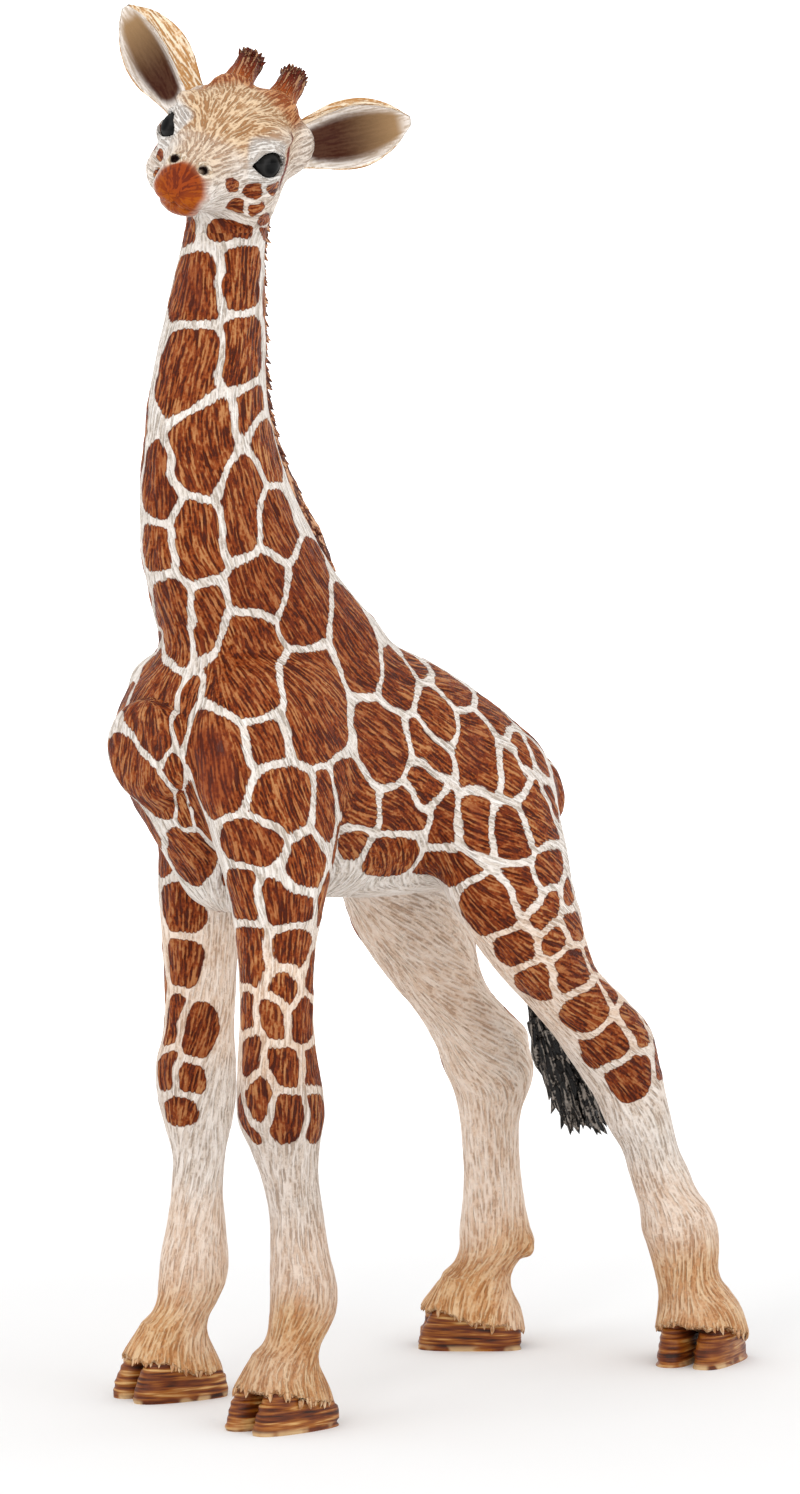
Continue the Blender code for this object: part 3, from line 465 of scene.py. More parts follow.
REACH = 2.4 * MM             # how far from its box a form is looked at
SETTLE_ROUNDS = 2
SETTLE_STEP = 0.5 * MM       # furthest that a point is moved in one round


def field(points, forms):
    """Distance of each point to the body that the forms make."""
    out = np.full(len(points), 2 * REACH)
    for distance, low, high, blend, sign in forms:
        near = np.all((points > low - REACH) & (points < high + REACH), axis=1)
        if not near.any():
            continue
        there = distance(points[near])
        if sign > 0:
            out[near] = joined(out[near], there, blend)
        else:
            out[near] = -joined(-out[near], there, blend)
    return out


def slope_of(points, forms, step=0.03 * MM):
    """Outward direction of the field at each point, one long."""
    corners = np.array([(1, -1, -1), (-1, -1, 1), (-1, 1, -1), (1, 1, 1)], float)
    return unit(sum(c * field(points + c * step, forms)[:, None] for c in corners))


def settle(points, forms, flat=None):
    """Move points onto the skin, and those marked flat only sideways."""
    for _ in range(SETTLE_ROUNDS):
        away = field(points, forms)
        move = slope_of(points, forms)
        if flat is not None:
            move[flat, 2] = 0
            across = np.maximum(np.linalg.norm(move[flat], axis=1), 0.3)
            move[flat] /= (across**2)[:, None]
        points = points - np.clip(away, -SETTLE_STEP, SETTLE_STEP)[:, None] * move
    return points


# The whole body


def along_trunk(share):
    """Place along Y of a share of the trunk's length."""
    return BREAST_PLACE + TRUNK_LENGTH * share


def leg_seam(leg):
    """Centre of the seam between a leg and the trunk."""
    side, share, _, track = LEGS[leg]
    level = FRONT_SEAM_SHARE if leg.startswith("front") else HIND_SEAM_SHARE
    return Vector((side * track, along_trunk(share), LEG_LENGTH * level))


def hoof_ground(leg):
    """Ground point under the middle of a hoof, and the directions of its side and its heel."""
    side, _, turn, _ = LEGS[leg]
    seam = leg_seam(leg)
    ground = Vector((seam.x, seam.y + LEG_LENGTH * LEG_SHARES[leg][-1][1], 0.0))
    out = Matrix.Rotation(side * turn, 3, "Z")
    return ground, out @ Vector((1, 0, 0)), out @ Vector((0, 1, 0)), side * turn


def leg_rows(leg):
    """Sections of a whole leg, from the hoof up to the shoulder or hip."""
    seam = leg_seam(leg)
    side, _, _, _ = LEGS[leg]
    front = leg.startswith("front")
    girth = FRONT_GIRTH if front else HIND_GIRTH
    ground, _, _, turn = hoof_ground(leg)
    rows = []

    def add_row(level, x, y, radius, flat, bend=0.0):
        size = girth * radius
        rows.append((level, x, y, size * (0.94 - 0.2 * flat), size * (1.05 + 0.12 * flat), bend))

    for height, place, radius in LEG_SHARES[leg][:-1]:
        flat = 0.0 if front else max(0.0, (height - HOCK_SHARE) / (HIND_SEAM_SHARE - HOCK_SHARE))
        bend = turn * min(max((0.20 - height) / 0.10, 0), 1)
        add_row(LEG_LENGTH * height, seam.x, seam.y + LEG_LENGTH * place, radius, flat, bend)
    for height, across, along, radius in UPPER_SHARES[leg]:
        flat = min(height / SHOULDER_FLAT_SHARE, 1.0) if front else 1.0
        add_row(seam.z + TRUNK_DEPTH * height, seam.x + side * TRUNK_WIDTH / 2 * across,
                seam.y + TRUNK_LENGTH * along, radius, flat)
    size = girth * LEG_SHARES[leg][-1][2]
    for level in (3.2 * MM, 0.4 * MM):
        rows.append((level, ground.x, ground.y, size * 0.92, size * 1.1, turn))
    return rows


def cuff_height(points, leg):
    """Height of points over the ragged hair line of a leg's cuff, which is lower at the heel."""
    ground, side, heel, _ = hoof_ground(leg)
    slope = (heel * cos(CORONET_ANGLE) - Vector((0, 0, sin(CORONET_ANGLE)))).normalized()
    local = points - np.array(ground) - (0, 0, HOOF_HEIGHT * HEM_SHARE)
    angle = np.arctan2(local @ np.array(side), local @ np.array(heel))
    ragged = np.abs(np.sin(angle * 9 + 1.3 * np.sin(angle * 3))) * 0.3 - 0.14 * np.sin(angle * 5)
    ragged = ragged + np.abs(np.sin(angle * 21)) * 0.14 - 0.2
    return local @ np.array(side.cross(slope)) - ragged * MM


def leg_form(leg):
    """A leg, which widens into a cuff of hair that is cut off over the hoof."""
    shaft, low, high, blend, sign = tube(leg_rows(leg), 2, LEG_BLEND)
    ground, _, _, turn = hoof_ground(leg)
    rows = [(level * MM, ground.x, ground.y, HOOF_WIDTH / 2 * wide, HOOF_LENGTH / 2 * deep, turn)
            for level, deep, wide in CUFF_ROWS]
    cuff = tube(rows, 2, 0.0, 2.6)[0]

    def cut(points):
        whole = shaft(points)
        near = points[:, 2] < CUFF_TOP
        there = points[near]
        hung = joined(whole[near], cuff(there), CUFF_BLEND)
        whole[near] = -joined(-hung, cuff_height(there, leg), HEM_BLEND)
        return whole

    return cut, low, high, blend, sign


def leg_marks(leg):
    """The two small claws at the back of a hind fetlock."""
    _, side, heel, _ = hoof_ground(leg)
    at, values = smoothed(leg_rows(leg))
    centre = Vector((*(np.interp(CLAW_LEVEL, at, values[:, k]) for k in range(2)), CLAW_LEVEL))
    back = np.interp(CLAW_LEVEL, at, values[:, 3])
    forms = []
    for hand in (1, -1):
        place = centre + side * (hand * 0.95 * MM) + heel * (back - 0.25 * MM)
        forms.append(swelling(place, lengths((0.6, 0.6, 0.9)), 0.9 * MM))
    return forms


def neck_row(share):
    """Centre and half sizes of the neck at a share of its length."""
    columns = np.array(NECK_SHARES).T
    across, along, deep, wide = (np.interp(share, columns[0], column) for column in columns[1:])
    half = NECK_THICKNESS * deep
    level = NECK_ROOT_HEIGHT + NECK_LENGTH * share
    return level, NECK_THICKNESS * across, NECK_THICKNESS * along, half * wide, half, 0.0


def trunk_rows():
    """Sections of the barrel of the body."""
    rows = []
    for place, half, top, under in TRUNK_SHARES:
        middle = BELLY_HEIGHT + TRUNK_DEPTH * (top + under) / 2
        high = TRUNK_DEPTH * (top - under) / 2
        rows.append((along_trunk(place), 0.0, middle, TRUNK_WIDTH / 2 * half, high, 0.0))
    return rows


THROAT = neck_row(THROAT_SEAM_SHARE)
HEAD_ORIGIN = Vector((THROAT[1], THROAT[2], THROAT[0])) + HEAD_SEAT
HEAD_POSE = (Matrix.Rotation(HEAD_TURN_ANGLE, 3, "Z") @ Matrix.Rotation(HEAD_NOD_ANGLE, 3, "X")
             @ Matrix.Rotation(HEAD_TILT_ANGLE, 3, "Y"))
HEAD_AXES = np.array(HEAD_POSE)


def to_head(points):
    """Points of the body in the head's own frame."""
    return (points - np.array(HEAD_ORIGIN)) @ HEAD_AXES


def from_head(points):
    """Points of the head's own frame in the body's."""
    return np.asarray(points) @ HEAD_AXES.T + np.array(HEAD_ORIGIN)


def in_head(form):
    """A form given in the head's own frame, placed in the body's."""
    distance, low, high, blend, sign = form
    corners = np.array([(x, y, z) for x in (low[0], high[0]) for y in (low[1], high[1])
                        for z in (low[2], high[2])])
    corners = from_head(corners)
    return (lambda points: distance(to_head(points))), corners.min(0), corners.max(0), blend, sign


def eye_frame(side):
    """Centre of an eye and its axes: towards its outer corner, up, and outwards."""
    centre = np.array(EYE_PLACE) * (side, 1, 1)
    out = unit(np.array(EYE_FACING) * (side, 1, 1))
    back = unit(np.cross((0.0, 0.0, 1.0), out) * side)
    up = np.cross(out, back) * side
    across = back * cos(EYE_LEAN) + up * sin(EYE_LEAN)
    return centre, across, up * cos(EYE_LEAN) - back * sin(EYE_LEAN), out


def lid_gap(points, side):
    """Distance to the almond-shaped opening of the lids, less than nothing inside it."""
    centre, across, up, out = eye_frame(side)
    local = points - centre
    u, v, w = local @ across / MM, local @ up / MM, local @ out
    reach = 1 - (u / LID_HALF)**2
    v = v - LID_LINE
    gap = np.where(v > 0, v - LID_RISE * reach, -v - LID_DROP * reach)
    return gap * MM * LID_STEEPNESS, w


def lid_form(side):
    """The lids: a shell over the eyeball."""
    centre = eye_frame(side)[0]
    shell = EYE_RADIUS + LID_THICKNESS

    def distance(points):
        return np.linalg.norm(points - centre, axis=1) - shell

    return distance, centre - shell, centre + shell, 0.55 * MM, 1


def opening_form(side):
    """The hole that the eyeball looks out of."""
    centre = eye_frame(side)[0]

    def distance(points):
        gap, w = lid_gap(points, side)
        return np.maximum(gap, -w)

    return distance, centre - EYE_RADIUS, centre + 2 * EYE_RADIUS, 0.16 * MM, -1


def head_forms():
    """The head, in the order in which its clay would be laid on."""
    rows = [(back * MM, 0.0, (crown + jaw) / 2 * MM, half * MM, (crown - jaw) / 2 * MM, 0.0)
            for back, half, crown, jaw in SKULL_ROWS]
    forms = [tube(rows, 1, 1.2 * MM, 2.2, 0.6 * MM)]
    for centre, radii, lean, turn, blend in HEAD_FORMS:
        for side in (1, -1) if centre[0] else (1,):
            axes = Euler((radians(lean), 0.0, radians(turn * side))).to_matrix()
            place = lengths(centre) * (side, 1, 1)
            forms.append(swelling(place, lengths(radii), blend * MM, axes))
    for side in (1, -1):
        forms += [lid_form(side), opening_form(side)]
        centre = lengths(NOSTRIL) * (side, 1, 1)
        axes = Euler((radians(-25), 0.0, radians(25 * side))).to_matrix()
        forms.append(swelling(centre, lengths(NOSTRIL_WING), 0.4 * MM, axes))
        forms.append(swelling(centre + lengths((0.08 * side, -0.5, 0.08)),
                              lengths(NOSTRIL_HOLE), 0.18 * MM, axes, -1))
        corner, front, tip = (lengths(place) * (side, 1, 1)
                              for place in (LIP_CORNER, LIP_FRONT, LIP_TIP))
        forms.append(bar(corner, front, 0.16 * MM, 0.2 * MM, -1))
        forms.append(bar(front, tip, 0.12 * MM, 0.2 * MM, -1))
    return [in_head(form) for form in forms]


def body_forms():
    """Trunk, legs, neck and head."""
    forms = [tube(trunk_rows(), 1, 0.0, 2.15, 1.6 * MM)]
    forms.append(tube([neck_row(share) for share in np.linspace(-0.16, 1.12, 24)], 2, NECK_BLEND))
    forms.append(bar(lengths(BRISKET[0]), lengths(BRISKET[1]), BRISKET_RADIUS, NECK_BLEND))
    forms += [leg_form(leg) for leg in LEGS]
    for leg in ("hind_left", "hind_right"):
        forms += leg_marks(leg)
    return forms + head_forms()


# Hoof sections: height in millimetres, length and width, and shift towards the heel, as shares.
TOE_ROWS = (
    (-0.8, 0.93, 0.97, 0.0), (0.0, 0.95, 1.0, 0.0), (1.2, 0.92, 0.98, 0.01),
    (2.1, 0.86, 0.95, 0.02), (3.0, 0.77, 0.88, 0.03), (4.2, 0.6, 0.74, 0.03),
)
TOE_APART = 1.04             # place of a toe's middle beside the cleft, of a quarter of the hoof
TOE_WIDE = 0.93              # half width of a toe, of a quarter of the hoof
TOE_TURN = radians(2)        # of each toe, away from the other


def toe_form(leg, hand):
    """One toe of a hoof, which ends a little above the hem of the cuff."""
    ground, side, heel, turn = hoof_ground(leg)
    rows = []
    for level, length, width, back in TOE_ROWS:
        centre = ground + side * (hand * HOOF_WIDTH / 4 * TOE_APART) + heel * (HOOF_LENGTH * back)
        rows.append((level * MM, centre.x, centre.y, HOOF_WIDTH / 4 * width * TOE_WIDE,
                     HOOF_LENGTH / 2 * length, turn - hand * TOE_TURN))
    whole, low, high, _, _ = tube(rows, 2, 0.0, 2.5)

    def cut(points):
        return -joined(-whole(points), HOOF_LIFT - cuff_height(points, leg), HEM_BLEND)

    return cut, low, high, 0.08 * MM, 1


def hoof_forms(leg):
    """A cloven hoof: two toes that part at the front, with a flat sole."""
    return [toe_form(leg, hand) for hand in (1, -1)]


BODY = body_forms()

# Random values that change smoothly from place to place

LATTICE_SIZE = 48
LATTICE = np.random.default_rng(7).random((LATTICE_SIZE,) * 3)
STROKE_STEPS = np.linspace(-0.5, 0.5, 9)   # places along a stroke at which its noise is taken
STROKE_CONTRAST = 2.8


def noise(points, spacing):
    """Smooth random values from 0 to 1, which change over the given distance."""
    spots = points / spacing
    base = np.floor(spots).astype(np.int64)
    part = spots - base
    part = part * part * (3 - 2 * part)
    out = np.zeros(len(points))
    for corner in np.ndindex(2, 2, 2):
        weight = np.prod(np.where(corner, part, 1 - part), axis=1)
        index = (base + corner) % LATTICE_SIZE
        out += weight * LATTICE[index[:, 0], index[:, 1], index[:, 2]]
    return out


def strokes(points, flow, spacing, length):
    """Random values drawn out along the flow, like the grooves between locks of hair."""
    total = sum(noise(points + flow * (length * step), spacing) for step in STROKE_STEPS)
    return np.clip((total / len(STROKE_STEPS) - 0.5) * STROKE_CONTRAST + 0.5, 0, 1)


# Meshes


def surface_net(values, low, cell):
    """Corners and four-sided faces over the zero level of a sampled field."""
    inside = values < 0
    shape = np.array(values.shape) - 1
    sums, counts = np.zeros((shape.prod(), 3)), np.zeros(shape.prod())
    faces = []
    for axis in range(3):
        a = np.moveaxis(values, axis, 0)
        crossing = np.moveaxis(inside, axis, 0)
        start = np.nonzero((crossing[:-1] != crossing[1:]).reshape(-1))[0]
        spots = np.array(np.unravel_index(start, (a.shape[0] - 1, a.shape[1], a.shape[2]))).T
        end = spots + (1, 0, 0)
        here, there = a[tuple(spots.T)], a[tuple(end.T)]
        point = spots.astype(float)
        point[:, 0] += here / (here - there)
        point = np.insert(point[:, 1:], axis, point[:, 0], axis=1)
        base = np.insert(spots[:, 1:], axis, spots[:, 0], axis=1)
        first, second = [k for k in range(3) if k != axis]
        ring = []
        for shift_a, shift_b in ((-1, -1), (0, -1), (0, 0), (-1, 0)):
            one = base.copy()
            one[:, first] += shift_a
            one[:, second] += shift_b
            ring.append(one)
        fits = np.all([np.all((one >= 0) & (one < shape), axis=1) for one in ring], axis=0)
        ids = [np.ravel_multi_index(one[fits].T, shape) for one in ring]
        for one in ids:
            np.add.at(sums, one, point[fits])
            np.add.at(counts, one, 1)
        quads = np.array(ids).T
        turn = (here[fits] < 0) ^ (axis == 1)
        quads[~turn] = quads[~turn][:, ::-1]
        faces.append(quads)
    faces = np.vstack(faces)
    used, faces = np.unique(faces, return_inverse=True)
    points = sums[used] / counts[used][:, None]
    return points * cell + low, faces.reshape(-1, 4)


def skin_grid(forms, low, high, cell):
    """The skin inside a box, as corners and faces."""
    steps = [np.arange(low[k], high[k] + cell, cell) for k in range(3)]
    values = np.empty([len(one) for one in steps])
    for index, x in enumerate(steps[0]):
        y, z = np.meshgrid(steps[1], steps[2], indexing="ij")
        points = np.stack([np.full(y.shape, x), y, z], axis=-1).reshape(-1, 3)
        values[index] = field(points, forms).reshape(y.shape)
    points, faces = surface_net(values, np.array(low), cell)
    return settle(points, forms), faces


def mesh_of(name, points, faces):
    """A mesh from corners and faces."""
    mesh = bpy.data.meshes.new(name)
    mesh.from_pydata([tuple(p) for p in points], [], [tuple(int(k) for k in f) for f in faces])
    mesh.update()
    return mesh


def values_of(items, key, width=3):
    """A value of every item, one a row."""
    out = np.empty(len(items) * width)
    items.foreach_get(key, out)
    return out.reshape(-1, width)


def points_of(mesh):
    """The corners of a mesh."""
    return values_of(mesh.vertices, "co")


def set_points(mesh, points):
    """Move the corners of a mesh."""
    mesh.vertices.foreach_set("co", np.asarray(points, float).ravel())
    mesh.update()


def mark(mesh, name, values):
    """Keep a value or a direction at each corner of a mesh, for its material."""
    kind, key = ("FLOAT_VECTOR", "vector") if np.ndim(values) == 2 else ("FLOAT", "value")
    layer = mesh.attributes.new(name, kind, "POINT")
    layer.data.foreach_set(key, np.asarray(values, float).ravel())


def placed(name, data):
    """An object with this mesh, lamp or camera, in the scene."""
    made = bpy.data.objects.new(name, data)
    bpy.context.scene.collection.objects.link(made)
    return made


def result_of(holder):
    """The mesh that an object's modifiers make, and the object removed."""
    bpy.context.view_layer.update()
    graph = bpy.context.evaluated_depsgraph_get()
    out = bpy.data.meshes.new_from_object(holder.evaluated_get(graph))
    bpy.data.objects.remove(holder)
    return out


def divided(mesh, levels):
    """The mesh with each face parted in four, a number of times, on smooth curves."""
    if not levels:
        return mesh
    holder = placed("divide", mesh)
    step = holder.modifiers.new("divide", "SUBSURF")
    step.levels = step.render_levels = levels
    return result_of(holder)


def cut_mesh(mesh, planes):
    """The part of a mesh on the far side of each plane, open where it was cut."""
    work = bmesh.new()
    work.from_mesh(mesh)
    for place, away in planes:
        whole = work.verts[:] + work.edges[:] + work.faces[:]
        bmesh.ops.bisect_plane(work, geom=whole, plane_co=place, plane_no=away, clear_inner=True,
                               dist=1e-7)
    bmesh.ops.delete(work, geom=[v for v in work.verts if not v.link_faces], context="VERTS")
    work.to_mesh(mesh)
    work.free()
    return mesh


def close_mesh(mesh):
    """Fill the open rims and point every face outwards."""
    work = bmesh.new()
    work.from_mesh(mesh)
    rims = [edge for edge in work.edges if edge.is_boundary]
    if rims:
        made = bmesh.ops.holes_fill(work, edges=rims, sides=0)["faces"]
        for face in made:
            for edge in face.edges:
                edge.smooth = False
    bmesh.ops.recalc_face_normals(work, faces=work.faces)
    for face in work.faces:
        face.smooth = True
    work.to_mesh(mesh)
    work.free()
    return mesh


def loft(rings):
    """A closed mesh through rings with the same number of points."""
    count = len(rings[0])
    points = np.vstack(rings)
    faces = []
    for row in range(len(rings) - 1):
        a, b = row * count, (row + 1) * count
        for step in range(count):
            after = (step + 1) % count
            faces.append((a + step, a + after, b + after, b + step))
    faces += [tuple(range(count)), tuple(range(len(points) - count, len(points)))]
    return mesh_of("loft", points, faces)


# The figure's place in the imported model, found from two of its solids
tail_low, tail_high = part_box("tail_stem")
SHIFT = np.array(((tail_low.x + tail_high.x) / 2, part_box("trunk")[0].y - BREAST_PLACE, 0.0))


def piece(name, mesh, slot, material, *nodes):
    """A finished piece on the body, moved from the figure's own frame to the model's."""
    mesh.name = name
    mesh.transform(Matrix.Translation(SHIFT))
    mesh.materials.clear()
    mesh.materials.append(material)
    made = placed(name, mesh)
    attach(made, "root")
    if nodes:
        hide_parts(*nodes)


# Camera: a long lens, 47 degrees round from the front and 7 degrees up

PHOTO_WIDTH, PHOTO_HEIGHT = 800, 1494
CAMERA_TURN = radians(47)
CAMERA_RISE = radians(7)
CAMERA_DISTANCE = 1.0
LENS_PIXELS = 11930          # distance of the picture plane, in pixels of the photograph
SENSOR = 36.0
CAMERA_AIM = Vector((-8.5, 0.0, 52.0)) * MM
TO_CAMERA = Vector((sin(CAMERA_TURN) * cos(CAMERA_RISE), -cos(CAMERA_TURN) * cos(CAMERA_RISE),
                    sin(CAMERA_RISE)))
RIGHTWARD = Vector((cos(CAMERA_TURN), sin(CAMERA_TURN), 0.0))
UPWARD = TO_CAMERA.cross(RIGHTWARD)
EYE_POINT = CAMERA_AIM + TO_CAMERA * CAMERA_DISTANCE
PIXEL = CAMERA_DISTANCE / LENS_PIXELS

camera = placed("camera", bpy.data.cameras.new("camera"))
camera.data.sensor_width = SENSOR
camera.data.lens = SENSOR * LENS_PIXELS / PHOTO_HEIGHT
camera.location = EYE_POINT + Vector(SHIFT)
camera.rotation_euler = TO_CAMERA.to_track_quat("Z", "Y").to_euler()
camera.data.clip_start = 0.05
camera.data.clip_end = 50.0
bpy.context.scene.camera = camera
bpy.context.scene.view_settings.view_transform = "Standard"

# Skins before they are divided

NECK_CUT = neck_row(NECK_SEAM_SHARE)[0]
HEAD_CUT = neck_row(THROAT_SEAM_SHARE)[0]
DOWN, UP = (0, 0, -1), (0, 0, 1)
LEG_PLANES = (((0, 0, LEG_CUT_HEIGHT), DOWN),)
SKINS = {
    # name: slot, lowest and highest corner, cell, levels of division, planes that part it
    "trunk": ("coat", (-13.5, -39, 37.5), (13.5, 17, 69), 0.5, 1,
              (((0, 0, LEG_CUT_HEIGHT), UP), ((0, 0, NECK_CUT), DOWN))),
    "neck": ("coat", (-9, -39, 65), (9, -10, 99.5), 0.5, 2,
             (((0, 0, NECK_CUT), UP), ((0, 0, HEAD_CUT), DOWN))),
    "head": ("face", (-8, -41, 95), (10.5, -17, 113), 0.4, 2, (((0, 0, HEAD_CUT), UP),)),
    "leg_front_left": ("leg", (3, -36, 0.2), (14.5, -20, 41), 0.5, 2, LEG_PLANES),
    "leg_front_right": ("leg", (-14.5, -34, 0.2), (-3, -14, 41), 0.5, 2, LEG_PLANES),
    "leg_hind_left": ("leg", (2, -9, 0.2), (16, 26, 41), 0.5, 2, LEG_PLANES),
    "leg_hind_right": ("leg", (-16, -6, 0.2), (-2, 18, 41), 0.5, 2, LEG_PLANES),
}
coarse = {}
for name, (_, low, high, cell, _, planes) in SKINS.items():
    points, faces = skin_grid(BODY, lengths(low), lengths(high), cell * MM)
    coarse[name] = cut_mesh(mesh_of(name, points, faces), planes)

all_points, all_faces = [], []
for mesh in coarse.values():
    start = len(all_points)
    all_points += [vertex.co.copy() for vertex in mesh.vertices]
    all_faces += [tuple(start + k for k in face.vertices) for face in mesh.polygons]
WHOLE = BVHTree.FromPolygons(all_points, all_faces)

# The coat. A patch is its centre on the skin, a matrix that turns a place beside it into shares of
# its half sizes, its reach and how smooth it is.

PATCH_POWER = 2.7
PATCH_GROWTH = 0.26 * MM     # patches are drawn this much larger and parted by their neighbours
LINE_WIDTH = 0.64 * MM       # of the pale lines between patches
SPOT_LINE_WIDTH = 0.4 * MM   # of those between the spots of the cheek
WARP_DEPTH = 0.64 * MM       # how far a patch's edge wanders
WARP_SPACING = 1.5 * MM
PATCH_MARGIN = 2.6 * MM      # how far round its reach a patch is looked at
STEEPEST = 2.4               # how far a patch may be drawn out along the line of sight
SEEN_SLACK = 0.5 * MM        # a ray that ends this much before a place still meets it
SEEN_TILT = 0.12             # least slope towards the camera of a place that it sees
LEG_BARE_BELOW = 21 * MM     # height under which no patch reaches
LEG_INNER_BELOW = 43 * MM    # height under which the inside of a leg is bare
BELLY_BARE_BELOW = 46 * MM
FACE_ABOVE = 99 * MM
CROWDED = 0.72               # patches with centres closer than this share of their reaches crowd
FILLER_ROOM = 1.75 * MM      # least room for a patch that fills a gap
FILLER_SIZE = 2.9 * MM       # its largest half size
FILLER_DROP = 3.2 * MM       # how far down it may reach
FILLER_LIMIT = 160


def laid_patch(centre, wide, tall, smooth=0.0):
    """A patch on the skin from its centre and two half sizes, which are turned flat onto it."""
    normal = slope_of(np.array([centre]), BODY)[0]
    depth = max(0.8 * (np.linalg.norm(wide) + np.linalg.norm(tall)) / 2, 1.0 * MM)
    wide, tall = wide - normal * (wide @ normal), tall - normal * (tall @ normal)
    axes = np.column_stack([wide, tall, normal * depth])
    reach = max(np.linalg.norm(wide), np.linalg.norm(tall))
    return np.array(centre), np.linalg.inv(axes), reach, smooth


def hit(x, y):
    """The place on the skin under a pixel of the photograph, or beside it at the outline."""
    ray = RIGHTWARD * (x - PHOTO_WIDTH / 2) + UPWARD * (PHOTO_HEIGHT / 2 - y)
    ray = (ray - TO_CAMERA * LENS_PIXELS).normalized()
    place = WHOLE.ray_cast(EYE_POINT, ray)[0]
    if place is None:
        tries = [WHOLE.find_nearest(EYE_POINT + ray * (CAMERA_DISTANCE + step * MM))
                 for step in range(-40, 41, 2)]
        place = min(tries, key=lambda one: one[3])[0]
    return np.array(place), np.array(ray)


def seen_patch(x, y, half_wide, half_tall, lean, smooth=0.0):
    """A patch that covers an ellipse of the photograph."""
    place, ray = hit(x, y)
    normal = slope_of(place[None], BODY)[0]
    axes = []
    lean = radians(lean)
    for right, up, half in ((cos(lean), -sin(lean), half_wide),
                            (sin(lean), cos(lean), half_tall)):
        flat = (np.array(RIGHTWARD) * right + np.array(UPWARD) * up) * half * PIXEL
        away = (flat @ normal) / min(ray @ normal, -0.05)
        limit = STEEPEST * np.linalg.norm(flat)
        axes.append(flat - ray * np.clip(away, -limit, limit))
    return laid_patch(place, axes[0], axes[1], smooth)


def patch_distance(points, patch):
    """Distance of points to the edge of a patch, less than nothing inside it."""
    centre, inverse, _, _ = patch
    away = points - centre
    size = (np.abs(away @ inverse.T)**PATCH_POWER).sum(1)**(1 / PATCH_POWER)
    return np.linalg.norm(away, axis=1) * (1 - 1 / np.maximum(size, 1e-6)) - PATCH_GROWTH


def is_seen(place):
    """Whether the camera sees a place on the skin."""
    ray = Vector(place) - EYE_POINT
    found, normal, _, distance = WHOLE.ray_cast(EYE_POINT, ray.normalized())
    open_to = found is not None and distance > ray.length - SEEN_SLACK
    return open_to and normal.dot(ray) < -SEEN_TILT * ray.length


LEG_LINES = {leg: smoothed(leg_rows(leg)) for leg in LEGS}


def leg_centre(leg, level):
    """Middle of a leg at a height."""
    at, values = LEG_LINES[leg]
    return np.array([np.interp(level, at, values[:, 0]), np.interp(level, at, values[:, 1]), level])


def leg_is_bare(place, normal, below=0.0):
    """Whether no patch goes at a place: inside or low on a leg, or under the belly."""
    side = 1 if place[0] > 0 else -1
    inner = place[2] < LEG_INNER_BELOW and normal[0] * side < -0.15
    low = place[2] - below < LEG_BARE_BELOW
    under = place[2] < BELLY_BARE_BELOW and normal[2] < -0.35
    return inner or low or under


def mirrored_patches(patches):
    """The same patches on the side that the camera doesn't see, where they don't crowd others."""
    out = []
    flip = np.array((-1, 1, 1))
    for place, inverse, reach, _ in patches:
        level = place[2]
        target = place * flip
        if level < LEG_CUT_HEIGHT:
            leg = min(LEGS, key=lambda one: np.linalg.norm(leg_centre(one, level) - place))
            pair = leg.split("_")[0] + ("_right" if leg.endswith("left") else "_left")
            target = leg_centre(pair, level) + (place - leg_centre(leg, level)) * flip
        found, normal, _, _ = WHOLE.find_nearest(Vector(target))
        if is_seen(found) or leg_is_bare(found, normal, 0.9 * reach):
            continue
        wide, tall, _ = np.linalg.inv(inverse).T * flip
        patch = laid_patch(np.array(found), wide, tall)
        if all(np.linalg.norm(patch[0] - one[0]) > CROWDED * (patch[2] + one[2])
               for one in patches + out):
            out.append(patch)
    return out


def filler_patches(patches):
    """Patches that fill what is left of the side that the camera doesn't see."""
    random = np.random.default_rng(11)
    places, normals = [], []
    for mesh in coarse.values():
        for vertex in mesh.vertices:
            place, normal = vertex.co, vertex.normal
            bare = leg_is_bare(place, normal, FILLER_DROP)
            if random.random() > 0.1 or place[2] > FACE_ABOVE or bare:
                continue
            if not is_seen(place):
                places.append(place)
                normals.append(normal)
    places, normals = np.array(places), np.array(normals)
    nearest = np.full(len(places), 10 * MM)
    for patch in patches:
        nearest = np.minimum(nearest, patch_distance(places, patch))
    out = []
    while nearest.max() > FILLER_ROOM and len(out) < FILLER_LIMIT:
        best = int(np.argmax(nearest))
        share = 0.95 if places[best][2] > LEG_CUT_HEIGHT else 0.8
        size = min(nearest[best], FILLER_SIZE) * share
        steady = (0.0, 0.0, 1.0) if abs(normals[best][2]) < 0.9 else (0.0, 1.0, 0.0)
        along = unit(np.cross(normals[best], steady))
        upright = np.cross(along, normals[best])
        stretch = 0.85 + 0.5 * random.random()
        patch = laid_patch(places[best], along * size / stretch, upright * size * stretch)
        out.append(patch)
        nearest = np.minimum(nearest, patch_distance(places, patch))
    return out


COAT = [seen_patch(*row) for row in PATCHES]
COAT += mirrored_patches(COAT)
COAT += filler_patches(COAT)
SPOTS = [seen_patch(*row) for row in CHEEK_SPOTS]
for centre, _, reach, _ in list(SPOTS[:-1]):
    found = WHOLE.find_nearest(Vector(from_head(to_head(centre[None])[0] * (-1, 1, 1))))[0]
    if not is_seen(found):
        SPOTS.append(laid_patch(np.array(found), HEAD_AXES[:, 1] * reach, HEAD_AXES[:, 2] * reach))


